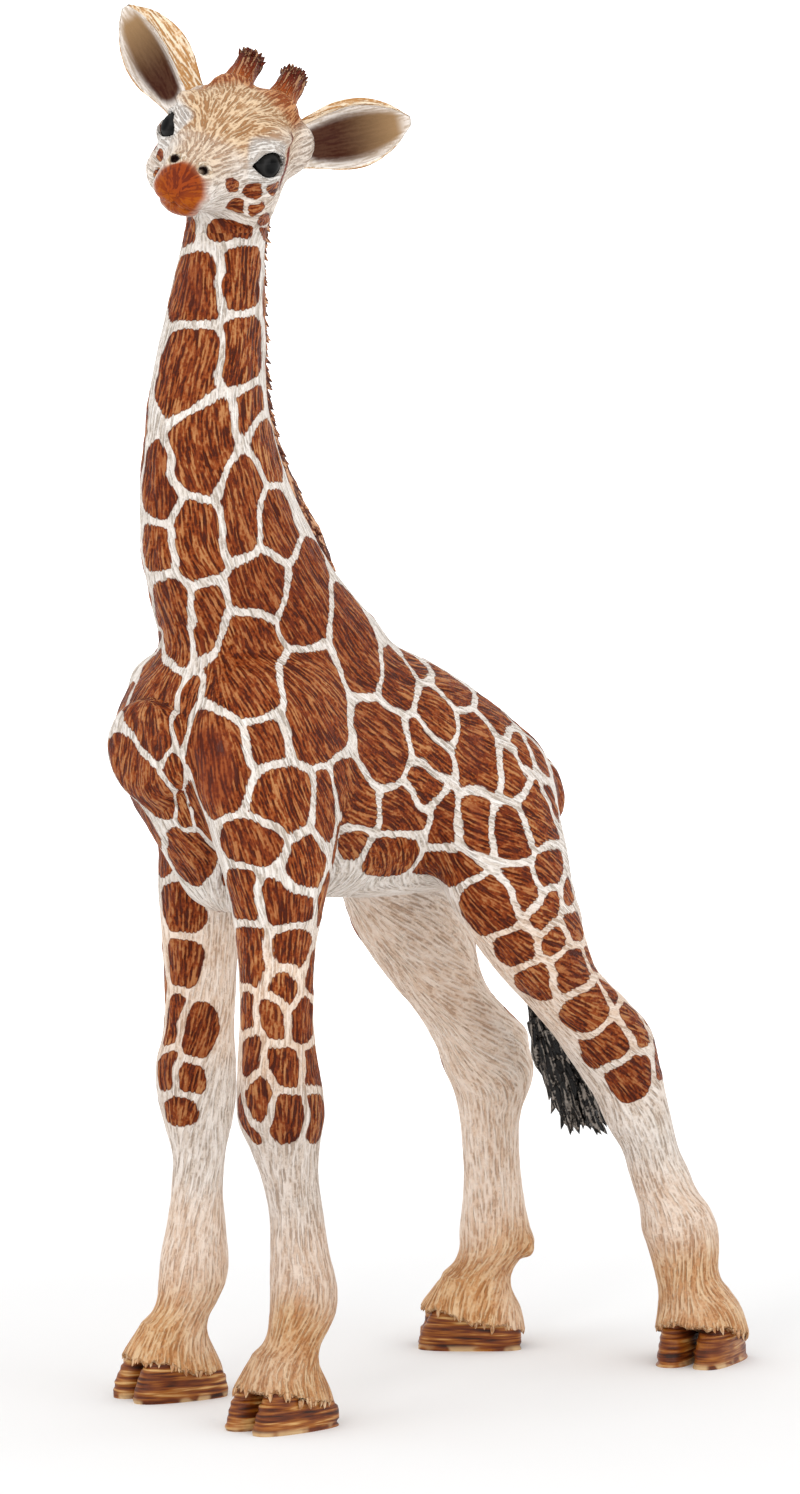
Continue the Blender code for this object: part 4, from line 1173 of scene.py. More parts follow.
def coat_marks(points, patches, line):
    """How far inside a patch each point is, its patch's tone and how smooth it is there."""
    warp = np.stack([noise(points + k * 7 * MM, WARP_SPACING) for k in range(3)], 1) - 0.5
    warped = points + WARP_DEPTH * warp
    first, second = np.full(len(points), 3 * MM), np.full(len(points), 3 * MM)
    owner = np.zeros(len(points), int)
    for index, patch in enumerate(patches):
        span = patch[2] + PATCH_MARGIN
        near = np.nonzero(np.all(np.abs(warped - patch[0]) < span, axis=1))[0]
        if not len(near):
            continue
        away = patch_distance(warped[near], patch)
        closer = away < first[near]
        second[near] = np.where(closer, first[near], np.minimum(second[near], away))
        first[near] = np.where(closer, away, first[near])
        owner[near[closer]] = index
    inside = -joined(-first, -((first - second) / 2 + line / 2), 0.22 * MM)
    tones = np.random.default_rng(5).random(len(patches))
    smooths = np.array([patch[3] for patch in patches])
    middle = eased(0.2 * MM, 1.6 * MM, -inside)
    return -inside / MM, tones[owner], smooths[owner] * middle


# Hair. It is cut into the skin along the flow.

GROOVE_SPACING = 0.42 * MM
GROOVE_LENGTH = 1.9 * MM
GROOVE_DEPTH = 0.16 * MM
HOLLOW_PROBE = 0.7 * MM      # how far off the skin it is felt how hollow a place is
ON_CUT = 2e-6                # a point this close to a cut lies on it
FACE_LEVEL = 99.5 * MM       # above it the face has spots of its own instead of patches


def leg_direction(points):
    """Downward direction of the nearest leg at each point."""
    best, out = np.full(len(points), 1.0), np.tile((0.0, 0.0, -1.0), (len(points), 1))
    for at, values in LEG_LINES.values():
        centre = np.stack([np.interp(points[:, 2], at, values[:, k]) for k in range(2)], 1)
        tilt = [np.interp(points[:, 2], at, np.gradient(values[:, k], at)) for k in range(2)]
        away = np.linalg.norm(points[:, :2] - centre, axis=1)
        nearer = away < best
        best[nearer] = away[nearer]
        out[nearer] = -unit(np.column_stack([*tilt, np.ones(len(points))]))[nearer]
    return out


def flow_of(points, normals):
    """Direction in which the hair lies, flat on the skin. The runs between the directions of
    barrel, rump, back, belly, thigh, neck and head are given in millimetres."""
    _, y, z = points.T / MM
    barrel = mixed(np.array((0, 0.30, -0.95)), np.array((0, 0.90, -0.42)), eased(-32, -17, y))
    trunk = mixed(barrel, np.array((0, 0.45, -0.9)), eased(-4, 8, y))
    top = eased(0.55, 0.95, normals[:, 2]) * eased(-22, -12, y)
    trunk = mixed(trunk, np.array((0, 1.0, -0.12)), top)
    trunk = mixed(trunk, np.array((0, 1.0, 0.0)), eased(-0.3, -0.8, normals[:, 2]))
    legs = leg_direction(points)
    thigh = mixed(legs, np.array((0, 0.9, -0.5)), eased(-12, -8, y) * eased(20, 27, z))
    out = mixed(trunk, thigh, eased(50, 43, z))
    columns = np.array([neck_row(share) for share in np.linspace(-0.1, 1.1, 30)])
    lean = np.gradient(columns[:, 2], columns[:, 0])
    tilt = np.interp(points[:, 2], columns[:, 0], lean)
    neck = unit(np.column_stack([np.zeros(len(points)), -tilt, -np.ones(len(points))]))
    out = mixed(out, neck, eased(58, 70, z))
    local = to_head(points) / MM
    rise = 0.25 + 0.6 * eased(-4, 2, local[:, 1]) * eased(-1, 2, local[:, 2])
    head = unit(np.column_stack([0.22 * local[:, 0], np.ones(len(points)), rise])) @ HEAD_AXES.T
    out = mixed(out, head, eased(97.5, 99.5, z))
    wander = np.stack([noise(points + k * 5 * MM, 4 * MM) for k in (1, 2, 3)], 1) - 0.5
    out = unit(out) + wander * 0.55
    return unit(out - normals * (out * normals).sum(1)[:, None])


def warmth(points):
    """From 0 where the pale hair is white to 0.5 where it is cream and 1 where it is orange. The
    right hind leg is cream down to the fetlock, where the others are white round the knee. The
    heights between which it changes are in millimetres."""
    level = points[:, 2] / MM
    creamy = (points[:, 0] < 0) & (points[:, 1] > -8 * MM)
    knee = eased(31, 26, level) * eased(14, 19, level) * np.where(creamy, 0.15, 1.0)
    low = 0.08 + 0.38 * eased(44, 36, level) + 0.54 * eased(15, 5, level) - 0.26 * knee
    return low * (0.75 + 0.5 * noise(points, 5 * MM))


def distance_to(points, place, side):
    """Distance of points to a place that is mirrored for the right side."""
    return np.linalg.norm(points - np.array(place) * (side, 1, 1), axis=1)


def face_marks(points):
    """Paint zones of the face, drawn in millimetres in the head's own frame."""
    local = to_head(points) / MM
    x, y, z = local.T
    wide = np.abs(x)
    uneven = 0.5 * (noise(points, 0.7 * MM) - 0.5)
    muzzle = eased(1.2, 0.82, np.hypot(x / 2.15, (z + 3.8) / 2.2) + 0.5 * uneven)
    muzzle = muzzle * eased(-7.2, -8.4, y)
    red = eased(1.9, 0.8, np.hypot(x * 0.9, z + 2.9) + uneven) * muzzle
    forehead = eased(6.0, 3.2, np.hypot(x, (y - 0.5) * 0.62)) * eased(-1.6, 0.8, z)
    bridge = 0.7 * eased(3.4, 1.4, wide) * eased(-1.0, -3.5, y) * eased(-3.5, -1.5, z)
    tan = np.maximum(forehead, bridge) + 0.22 * eased(1.5, 5.0, wide) * eased(-7, -4, z)
    zones = {"tan": np.clip(tan, 0, 1), "muzzle": muzzle, "red": red}
    for side in (1, -1):
        centre, across, _, _ = eye_frame(side)
        outward = (local - centre / MM) @ across
        from_eye = np.linalg.norm(local - centre / MM, axis=1)
        from_nostril = distance_to(local, NOSTRIL, side)
        from_hole = distance_to(local, np.array(NOSTRIL) + (0.08, -0.4, 0.08), side)
        from_horn = distance_to(local, HORN_ROOT, side)
        for key, values in (
            ("lid", eased(2.9, 2.3, from_eye)),
            ("corner", eased(0.42, 0.16, np.abs(from_eye - 3.35)) * eased(2.3, 2.7, outward)),
            ("ring", eased(0.95, 0.75, from_nostril)),
            # The nostril hole: its dark paint is deepened as painted shade in the hollow.
            ("hole", eased(0.50, 0.36, from_hole)),
            ("horn_root", eased(3.0, 1.9, from_horn + uneven)),
        ):
            zones[key] = np.maximum(zones.get(key, 0.0), values)
    return zones


# Painted shade on a leg's open surface below its seam, in the brown of the crease wash: how dark it
# is on each leg, as a share.
LEG_PAINTED_SHADE = {"leg_front_left": 0.65, "leg_front_right": 0.15, "leg_hind_left": 0.28}


def skin_piece(name):
    """The finished skin of one moulded piece, with its hair and its paint marks."""
    slot, _, _, _, levels, planes = SKINS[name]
    mesh = divided(coarse[name], levels)
    points = points_of(mesh)
    flat = np.zeros(len(points), bool)
    for place, _ in planes:
        flat |= np.abs(points[:, 2] - place[2]) < ON_CUT
    points = settle(points, BODY, flat)
    normals = slope_of(points, BODY)
    flow = flow_of(points, normals)
    coat, tone, smooth = coat_marks(points, COAT, LINE_WIDTH)
    finer, bald, zones = 1.0, 0.0, {}
    if name == "head":
        spot, spot_tone, _ = coat_marks(points, SPOTS, SPOT_LINE_WIDTH)
        local = to_head(points) / MM
        use = (points[:, 2] > FACE_LEVEL) | ((local[:, 2] > -5.4) & (local[:, 1] < 1.5))
        coat, tone = np.where(use, spot, coat), np.where(use, spot_tone, tone)
        zones = face_marks(points)
        smooth = np.maximum(smooth, 0.8 * zones["muzzle"])
        finer, bald = 0.7, 0.8 * np.maximum(zones["lid"], zones["ring"])
    groove = strokes(points, flow, GROOVE_SPACING * finer, GROOVE_LENGTH * finer**2)
    depth = GROOVE_DEPTH * finer * (1 - 0.85 * smooth) * (0.5 + 0.5 * eased(-0.2, 0.4, coat))
    sunk = (groove - 0.6) * depth * (1 - bald)
    # How hollow each place is: the creases get a brown wash that is also painted shade.
    hollow = field(points + normals * HOLLOW_PROBE, BODY) / HOLLOW_PROBE
    # Painted shade on the legs, which grows towards the ground.
    leg_shade = LEG_PAINTED_SHADE.get(name, 0.0) * eased(38, 26, points[:, 2] / MM)
    move = normals.copy()
    move[flat, 2] = 0
    set_points(mesh, points + move * sunk[:, None])
    # The hollow mark carries the crease wash and shade, and the painted shade of the legs.
    marks = {"flow": flow, "coat": coat, "tone": tone, "smooth": smooth, "groove": groove,
             "hollow": np.clip(1 - hollow, leg_shade, 1), "warm": warmth(points), **zones}
    for key, values in marks.items():
        mark(mesh, key, values)
    piece("skin_" + name, close_mesh(mesh), slot, SKIN_MATERIALS[slot], name)


# Materials


def linear(code):
    """A colour written as an sRGB hex value, as the shaders need it."""
    parts = [int(code[k:k + 2], 16) / 255 for k in (1, 3, 5)]
    return (*(p / 12.92 if p <= 0.04045 else ((p + 0.055) / 1.055)**2.4 for p in parts), 1.0)


def add(tree, kind, inputs=(), **settings):
    """Add a node: its settings, and what each input is linked or set to."""
    node = tree.nodes.new(kind)
    for name, value in settings.items():
        setattr(node, name, value)
    for key, value in dict(inputs).items():
        if isinstance(value, bpy.types.NodeSocket):
            tree.links.new(value, node.inputs[key])
        else:
            node.inputs[key].default_value = value
    return node


def calc(tree, operation, *values):
    """A sum done by a node."""
    return add(tree, "ShaderNodeMath", dict(enumerate(values)), operation=operation).outputs[0]


def spread(tree, value, low, high, to_low=0.0, to_high=1.0):
    """A value's range mapped to another, with soft ends."""
    ends = {0: value, 1: low, 2: high, 3: to_low, 4: to_high}
    return add(tree, "ShaderNodeMapRange", ends, interpolation_type="SMOOTHSTEP").outputs[0]


def blend_colour(tree, share, start, end, mode="MIX"):
    """Two colours mixed by a share."""
    return add(tree, "ShaderNodeMix", {0: share, 6: start, 7: end}, data_type="RGBA",
               blend_type=mode).outputs[2]


def own(tree, name):
    """A value kept at the corners of the piece's own mesh."""
    return add(tree, "ShaderNodeAttribute", attribute_name=name).outputs[2]


def own_place(tree):
    """Places in the piece's own frame."""
    return add(tree, "ShaderNodeTexCoord").outputs["Object"]


def colour_ramp(tree, value, stops):
    """Colours along a value from 0 to 1."""
    node = add(tree, "ShaderNodeValToRGB", {0: value})
    ramp = node.color_ramp
    while len(ramp.elements) < len(stops):
        ramp.elements.new(0.5)
    for element, (place, code) in zip(ramp.elements, stops):
        element.position = place
        element.color = linear(code)
    return node.outputs[0]


def hair_group():
    """Fine strokes along the flow: noise averaged over short steps along it."""
    group = bpy.data.node_groups.new("hair_strokes", "ShaderNodeTree")
    for name in ("Spacing", "Length"):
        group.interface.new_socket(name, in_out="INPUT", socket_type="NodeSocketFloat")
    group.interface.new_socket("Stroke", in_out="OUTPUT", socket_type="NodeSocketFloat")
    given = group.nodes.new("NodeGroupInput")
    place = own_place(group)
    flow = add(group, "ShaderNodeAttribute", attribute_name="flow").outputs[1]
    scale = calc(group, "DIVIDE", 1.0, given.outputs["Spacing"])
    total = 0.0
    for step in STROKE_STEPS:
        far = calc(group, "MULTIPLY", given.outputs["Length"], float(step))
        ahead = add(group, "ShaderNodeVectorMath", {0: flow, "Scale": far}, operation="SCALE")
        spot = add(group, "ShaderNodeVectorMath", {0: place, 1: ahead.outputs[0]}, operation="ADD")
        speck = add(group, "ShaderNodeTexNoise",
                    {"Vector": spot.outputs[0], "Scale": scale, "Detail": 0.0})
        total = calc(group, "ADD", total, speck.outputs[0])
    mean = calc(group, "DIVIDE", total, len(STROKE_STEPS))
    out = group.nodes.new("NodeGroupOutput")
    group.links.new(spread(group, mean, 0.43, 0.57), out.inputs[0])
    return group


HAIR = hair_group()


def plastic(name, roughness, specular):
    """A painted moulding: its tree and its shader."""
    made = bpy.data.materials.new(name)
    made.use_nodes = True
    shader = made.node_tree.nodes["Principled BSDF"]
    shader.inputs["Roughness"].default_value = roughness
    shader.inputs["Specular IOR Level"].default_value = specular
    return made, made.node_tree, shader


def hair_strokes(tree, spacing, length):
    """Strokes of the hair group, from 0 in the grooves to 1 on the ridges."""
    sizes = {"Spacing": spacing, "Length": length}
    return add(tree, "ShaderNodeGroup", sizes, node_tree=HAIR).outputs[0]


def specks(tree, place, size, detail):
    """Noise of a given size, from 0 to 1."""
    values = {"Vector": place, "Scale": 1 / size, "Detail": detail}
    return add(tree, "ShaderNodeTexNoise", values).outputs[0]


def finish(tree, shader, colour, height, rough, relief):
    """Colour, gloss and fine relief, whose full height is given, of a painted skin."""
    tree.links.new(colour, shader.inputs["Base Color"])
    tree.links.new(rough, shader.inputs["Roughness"])
    bump = add(tree, "ShaderNodeBump", {"Height": height, "Strength": 1.0, "Distance": relief})
    tree.links.new(bump.outputs[0], shader.inputs["Normal"])


# Zones of the face in the order in which they are painted: in the grooves and on the ridges
FACE_PAINTS = (
    ("tan", "#A87A50", "#E4C6A2"), ("horn_root", "#8A4218", "#CC9060"),
    ("lid", "#B9AFA6", "#F1ECE6"), ("muzzle", "#8E3A00", "#A45002"),
    ("red", "#6A2204", "#943C08"), ("ring", "#C2A88C", "#F0E0CB"),
    # The nostril hole is painted near black: dark paint and painted shade in the hollow.
    ("corner", "#5E1F10", "#8C3A22"), ("hole", "#1C0A04", "#2C1208"),
)


def coat_paint(name, face=False):
    """Acrylic paint on moulded PVC: brown patches over cream, rubbed thin on the raised hair."""
    made, tree, shader = plastic(name, 0.5, 0.15)
    lock = hair_strokes(tree, (0.20 if face else 0.23) * MM, (0.9 if face else 1.15) * MM)
    fine = hair_strokes(tree, 0.14 * MM, 0.7 * MM)
    relief = calc(tree, "MULTIPLY_ADD", lock, 0.75, calc(tree, "MULTIPLY", fine, 0.25))
    share = calc(tree, "MULTIPLY", relief, 0.72)
    both = calc(tree, "MULTIPLY_ADD", own(tree, "groove"), 0.28, share)
    coat = calc(tree, "MULTIPLY_ADD", calc(tree, "SUBTRACT", lock, 0.5), 0.12, own(tree, "coat"))
    inside = spread(tree, coat, -0.05, 0.05)
    smooth = own(tree, "smooth")

    ridge = colour_ramp(tree, both, ((0.20, "#441400"), (0.36, "#742C04"),
                                     (0.60, "#964818"), (0.90, "#BE8452")))
    deep = colour_ramp(tree, both, ((0.2, "#4A1400"), (0.5, "#6A2402"), (0.85, "#8C3E12")))
    dark_share = calc(tree, "MAXIMUM", smooth, calc(tree, "MULTIPLY", own(tree, "tone"), 0.45))
    patch = blend_colour(tree, dark_share, ridge, deep)
    outline = calc(tree, "MULTIPLY", spread(tree, coat, 0.2, 0.0), 0.5)
    patch = blend_colour(tree, outline, patch, linear("#4A1A0A"))

    white = colour_ramp(tree, both, ((0.14, "#ACA094"), (0.28, "#D4CABF"),
                                     (0.46, "#E2D9D0"), (0.9, "#F2ECE6")))
    cream = colour_ramp(tree, both, ((0.14, "#C0A088"), (0.28, "#DEC2AA"),
                                     (0.46, "#E8D0BC"), (0.9, "#F2E0D0")))
    orange = colour_ramp(tree, both, ((0.14, "#AA7242"), (0.28, "#C28A58"),
                                      (0.46, "#CE9C6C"), (0.9, "#E2C096")))
    warm = own(tree, "warm")
    pale = blend_colour(tree, spread(tree, warm, 0.0, 0.5), white, cream)
    pale = blend_colour(tree, spread(tree, warm, 0.5, 1.0), pale, orange)
    dust = spread(tree, specks(tree, own_place(tree), 0.3 * MM, 2.0), 0.60, 0.72, 0.0, 0.25)
    pale = blend_colour(tree, dust, pale, linear("#A39A92"))
    if face:
        for key, low_code, high_code in FACE_PAINTS:
            share = spread(tree, both, 0.25, 0.75)
            zone = blend_colour(tree, share, linear(low_code), linear(high_code))
            pale = blend_colour(tree, own(tree, key), pale, zone)
    colour = blend_colour(tree, inside, pale, patch)
    # Painted shade: a brown multiplied into hollows and creases, where a wash would also lie, and
    # onto the legs by their own shares.
    crease_wash_and_shade = calc(tree, "MULTIPLY", own(tree, "hollow"), 0.4)
    colour = blend_colour(tree, crease_wash_and_shade, colour, linear("#8A6A50"), "MULTIPLY")
    rough = spread(tree, calc(tree, "MULTIPLY", inside, smooth), 0.0, 1.0, 0.52, 0.3)
    flatter = calc(tree, "MULTIPLY", relief, spread(tree, smooth, 0.0, 1.0, 1.0, 0.2))
    finish(tree, shader, colour, flatter, rough, 0.16 * MM)
    return made


SKIN_MATERIALS = {
    "coat": coat_paint("painted_pvc_coat"),
    "leg": coat_paint("painted_pvc_leg"),
    "face": coat_paint("painted_pvc_face", True),
}


def hoof_paint():
    """Brown acrylic brushed along the hoof over PVC, darker in the streaks."""
    made, tree, shader = plastic("painted_pvc_hoof", 0.42, 0.3)
    place = own_place(tree)
    level_streaks = {"Vector": place, "Scale": (0.07, 0.07, 1.0)}
    flat = add(tree, "ShaderNodeMapping", level_streaks).outputs[0]
    streak = specks(tree, flat, 0.3 * MM, 2.0)
    broad = specks(tree, place, 1.8 * MM, 1.0)
    tone = calc(tree, "MULTIPLY_ADD", streak, 0.8, calc(tree, "MULTIPLY", broad, 0.2))
    colour = colour_ramp(tree, tone, ((0.34, "#2E1002"), (0.45, "#6A2E06"),
                                      (0.56, "#9A5A1C"), (0.68, "#DAAE70")))
    level = add(tree, "ShaderNodeSeparateXYZ", {0: place}).outputs[2]
    sole = calc(tree, "MULTIPLY", spread(tree, level, 0.6 * MM, 0.1 * MM),
                spread(tree, broad, 0.45, 0.6))
    colour = blend_colour(tree, sole, colour, linear("#C8A67A"))
    finish(tree, shader, colour, streak, spread(tree, streak, 0.3, 0.7, 0.5, 0.34), 0.2 * MM)
    return made


def hair_paint(name, low, middle, high, roughness, relief):
    """Paint dry-brushed over moulded locks: dark between them and lighter on their backs."""
    made, tree, shader = plastic(name, roughness, 0.3)
    fine = hair_strokes(tree, 0.3 * MM, 2.2 * MM)
    colour = colour_ramp(tree, fine, ((0.25, low), (0.6, middle), (0.95, high)))
    rough = spread(tree, fine, 0, 1, roughness - 0.08, roughness + 0.08)
    finish(tree, shader, colour, fine, rough, relief)
    return made


def horn_paint():
    """Horns: orange-brown at the root, dark red above and nearly black at the tufted tip."""
    made, tree, shader = plastic("painted_pvc_horn", 0.5, 0.2)
    fine = hair_strokes(tree, 0.18 * MM, 1.2 * MM)
    uneven = calc(tree, "MULTIPLY", calc(tree, "SUBTRACT", fine, 0.5), 0.25)
    place = calc(tree, "ADD", own(tree, "along"), uneven)
    colour = colour_ramp(tree, place, ((0.05, "#B46C34"), (0.34, "#94400A"),
                                       (0.62, "#6A2002"), (0.90, "#3A0E02")))
    light = calc(tree, "MULTIPLY", spread(tree, fine, 0.6, 1.0), 0.5)
    colour = blend_colour(tree, light, colour, linear("#D8A478"))
    finish(tree, shader, colour, fine, spread(tree, fine, 0, 1, 0.42, 0.58), 0.2 * MM)
    return made


def ear_paint():
    """Ears: tan hair on the back, a pale rim and a smooth brown cup, darkened towards the root with
    painted shade.
    """
    made, tree, shader = plastic("painted_pvc_ear", 0.55, 0.12)
    fine = hair_strokes(tree, 0.2 * MM, 1.1 * MM)
    back = colour_ramp(tree, fine, ((0.1, "#B78552"), (0.5, "#DCB88E"), (0.9, "#F0DDC2")))
    rim = colour_ramp(tree, fine, ((0.1, "#CDBFB0"), (0.5, "#E4D9CE"), (0.9, "#F4ECE4")))
    along = own(tree, "along")
    # The cup's brown, near black at the root: painted shade deep in the hollow.
    cup = blend_colour(tree, spread(tree, along, 0.36, 1.0), linear("#3A1404"), linear("#A0805A"))
    cup = blend_colour(tree, calc(tree, "MULTIPLY", fine, 0.06), cup, linear("#C09A78"))
    inner = own(tree, "cup")
    colour = blend_colour(tree, spread(tree, inner, 0.02, 0.12), back, rim)
    shade = calc(tree, "MULTIPLY", spread(tree, inner, 0.28, 0.85), spread(tree, along, 1.0, 0.86))
    colour = blend_colour(tree, shade, colour, cup)
    relief = calc(tree, "MULTIPLY", fine, spread(tree, inner, 0.1, 0.4, 0.8, 0.1))
    finish(tree, shader, colour, relief, spread(tree, fine, 0, 1, 0.5, 0.62), 0.12 * MM)
    return made


def eye_paint():
    """Eyes: black paint under clear gloss, with a dark grey iris that fades into it."""
    made, tree, shader = plastic("gloss_black_eye", 0.3, 0.0)
    colour = colour_ramp(tree, own(tree, "gaze"), ((0.6, "#060505"), (0.8, "#121110"),
                                                   (0.9, "#242322"), (0.96, "#030303")))
    tree.links.new(colour, shader.inputs["Base Color"])
    shader.inputs["Coat Weight"].default_value = 0.2
    shader.inputs["Coat Roughness"].default_value = 0.02
    return made


HOOF = hoof_paint()
HORN = horn_paint()
EAR = ear_paint()
EYE = eye_paint()
MANE = hair_paint("painted_pvc_mane", "#4A1A08", "#94502A", "#D8A882", 0.55, 0.14 * MM)
TUFT = hair_paint("painted_pvc_tuft", "#040303", "#17120F", "#8E867E", 0.45, 0.3 * MM)


# Locks of hair that stand on a surface


def lock_tree():
    """Bent, tapering locks, one on each given point, which point along its lean."""
    tree = bpy.data.node_groups.new("hair_locks", "GeometryNodeTree")
    tree.interface.new_socket("Points", in_out="INPUT", socket_type="NodeSocketGeometry")
    for name in ("Lock Length", "Lock Radius", "Bend"):
        tree.interface.new_socket(name, in_out="INPUT", socket_type="NodeSocketFloat")
    tree.interface.new_socket("Seed", in_out="INPUT", socket_type="NodeSocketInt")
    tree.interface.new_socket("Finish", in_out="INPUT", socket_type="NodeSocketMaterial")
    tree.interface.new_socket("Locks", in_out="OUTPUT", socket_type="NodeSocketGeometry")
    given = tree.nodes.new("NodeGroupInput").outputs
    length = given["Lock Length"]
    middle = add(tree, "ShaderNodeCombineXYZ", {"Z": calc(tree, "MULTIPLY", length, 0.55)})
    tip = add(tree, "ShaderNodeCombineXYZ", {"X": given["Bend"], "Z": length})
    curve = add(tree, "GeometryNodeCurveQuadraticBezier",
                {"Resolution": 5, "Start": (0, 0, 0), "Middle": middle.outputs[0],
                 "End": tip.outputs[0]})
    along = add(tree, "GeometryNodeSplineParameter").outputs["Factor"]
    taper = calc(tree, "SUBTRACT", 1.04, calc(tree, "POWER", along, 2.2))
    ring = add(tree, "GeometryNodeCurvePrimitiveCircle",
               {"Resolution": 6, "Radius": given["Lock Radius"]})
    lock = add(tree, "GeometryNodeCurveToMesh",
               {"Curve": curve.outputs[0], "Profile Curve": ring.outputs[0], "Scale": taper,
                "Fill Caps": True})
    lean = add(tree, "GeometryNodeInputNamedAttribute", {"Name": "lean"}, data_type="FLOAT_VECTOR")
    turn = add(tree, "FunctionNodeAlignRotationToVector", {"Vector": lean.outputs[0]}, axis="Z")
    spin = add(tree, "FunctionNodeRandomValue", {2: -pi, 3: pi, "Seed": given["Seed"]},
               data_type="FLOAT")
    own_turn = add(tree, "FunctionNodeAxisAngleToRotation",
                   {"Axis": (0, 0, 1), "Angle": spin.outputs[1]})
    both = add(tree, "FunctionNodeRotateRotation",
               {"Rotation": turn.outputs[0], "Rotate By": own_turn.outputs[0]},
               rotation_space="LOCAL")
    size = add(tree, "GeometryNodeInputNamedAttribute", {"Name": "size"}, data_type="FLOAT")
    copies = add(tree, "GeometryNodeInstanceOnPoints",
                 {"Points": given["Points"], "Instance": lock.outputs[0],
                  "Rotation": both.outputs[0], "Scale": size.outputs[0]})
    real = add(tree, "GeometryNodeRealizeInstances", {0: copies.outputs[0]})
    done = add(tree, "GeometryNodeSetMaterial",
               {"Geometry": real.outputs[0], "Material": given["Finish"]})
    tree.links.new(done.outputs[0], tree.nodes.new("NodeGroupOutput").inputs[0])
    return tree


LOCKS = lock_tree()
LOCK_SEED = 3
# Paint marks of hair that is pale all over, for the material of the coat
PALE_MARKS = {"coat": -1.0, "tone": 0.0, "smooth": 0.0, "hollow": 0.0}


def locks_piece(name, points, leans, sizes, length, radius, bend, slot, finish, marks=None):
    """A piece of locks. The marks are kept on each lock for the material, as its lean is."""
    mesh = mesh_of(name, points, [])
    mark(mesh, "lean", leans)
    mark(mesh, "flow", leans)
    mark(mesh, "size", sizes)
    for key, value in (marks or {}).items():
        mark(mesh, key, np.zeros(len(points)) + value)
    holder = placed(name, mesh)
    step = holder.modifiers.new("locks", "NODES")
    step.node_group = LOCKS
    values = {"Lock Length": length, "Lock Radius": radius, "Bend": bend, "Seed": LOCK_SEED,
              "Finish": finish}
    for item in LOCKS.interface.items_tree:
        if item.in_out == "INPUT" and item.name in values:
            step[item.identifier] = values[item.name]
    piece(name, close_mesh(result_of(holder)), slot, finish)


# Pieces

for name in SKINS:
    skin_piece(name)


HOOF_CELL = 0.3 * MM
RING_SPACING, RING_DEPTH = 0.32 * MM, 0.22 * MM   # of the growth rings


def hoof_piece(leg):
    """A hoof with fine level growth rings."""
    ground = np.array(hoof_ground(leg)[0])
    forms = hoof_forms(leg)
    points, faces = skin_grid(forms, ground + lengths((-6.5, -6.5, -0.6)),
                              ground + lengths((6.5, 6.5, 5.6)), HOOF_CELL)
    mesh = cut_mesh(mesh_of("hoof", points, faces), (((0, 0, 0), UP),))
    mesh = divided(mesh, 1)
    points = points_of(mesh)
    flat = np.abs(points[:, 2]) < ON_CUT
    points = settle(points, forms, flat)
    ridges = (noise(points * (0.09, 0.09, 1.0), RING_SPACING) - 0.6) * 1.3
    normals = slope_of(points, forms)
    normals[flat, 2] = 0
    set_points(mesh, points + normals * (RING_DEPTH * ridges)[:, None])
    piece("horn_of_" + leg, close_mesh(mesh), "hoof", HOOF, "hoof_" + leg)


def cuff_piece(leg):
    """Locks along the edge of a cuff, which hang over the hoof."""
    random = np.random.default_rng(21)
    points = np.array([vertex.co for vertex in coarse["leg_" + leg].vertices])
    height = cuff_height(points, leg) / MM
    use = (height > 0.1) & (height < 0.6) & (random.random(len(points)) < 0.7)
    points = points[use]
    normals = slope_of(points, BODY)
    leans = unit(flow_of(points, normals) - normals * 0.1)
    sizes = 0.6 + 0.7 * random.random(len(points))
    locks_piece("cuff_" + leg, points - normals * 0.18 * MM, leans, sizes, 0.62 * MM, 0.17 * MM,
                0.06 * MM, "leg", SKIN_MATERIALS["leg"],
                {**PALE_MARKS, "groove": 0.55, "warm": 0.9})


for leg in LEGS:
    hoof_piece(leg)
    cuff_piece(leg)


def fine_rows(rows, count):
    """A table resampled smoothly, first column included."""
    at, values = smoothed(rows, count)
    return np.column_stack([at, values])


def set_on_head(mesh):
    """Move a mesh from the head's own frame to the body's."""
    mesh.transform(HEAD_POSE.to_4x4())
    mesh.transform(Matrix.Translation(HEAD_ORIGIN))
    return mesh


def furrowed(mesh, flow, spacing, length, depth):
    """Grooves cut along the flow of a hairy piece."""
    close_mesh(mesh)
    points, normals = points_of(mesh), values_of(mesh.vertex_normals, "vector")
    flow = unit(flow - normals * (flow * normals).sum(1)[:, None])
    groove = strokes(points, flow, spacing, length)
    set_points(mesh, points + normals * ((groove - 0.62) * depth)[:, None])
    mark(mesh, "flow", flow)
    return mesh


EAR_RINGS, EAR_BACK_SIDES, EAR_FRONT_SIDES = 60, 33, 49
HORN_RINGS, HORN_SIDES = 40, 40


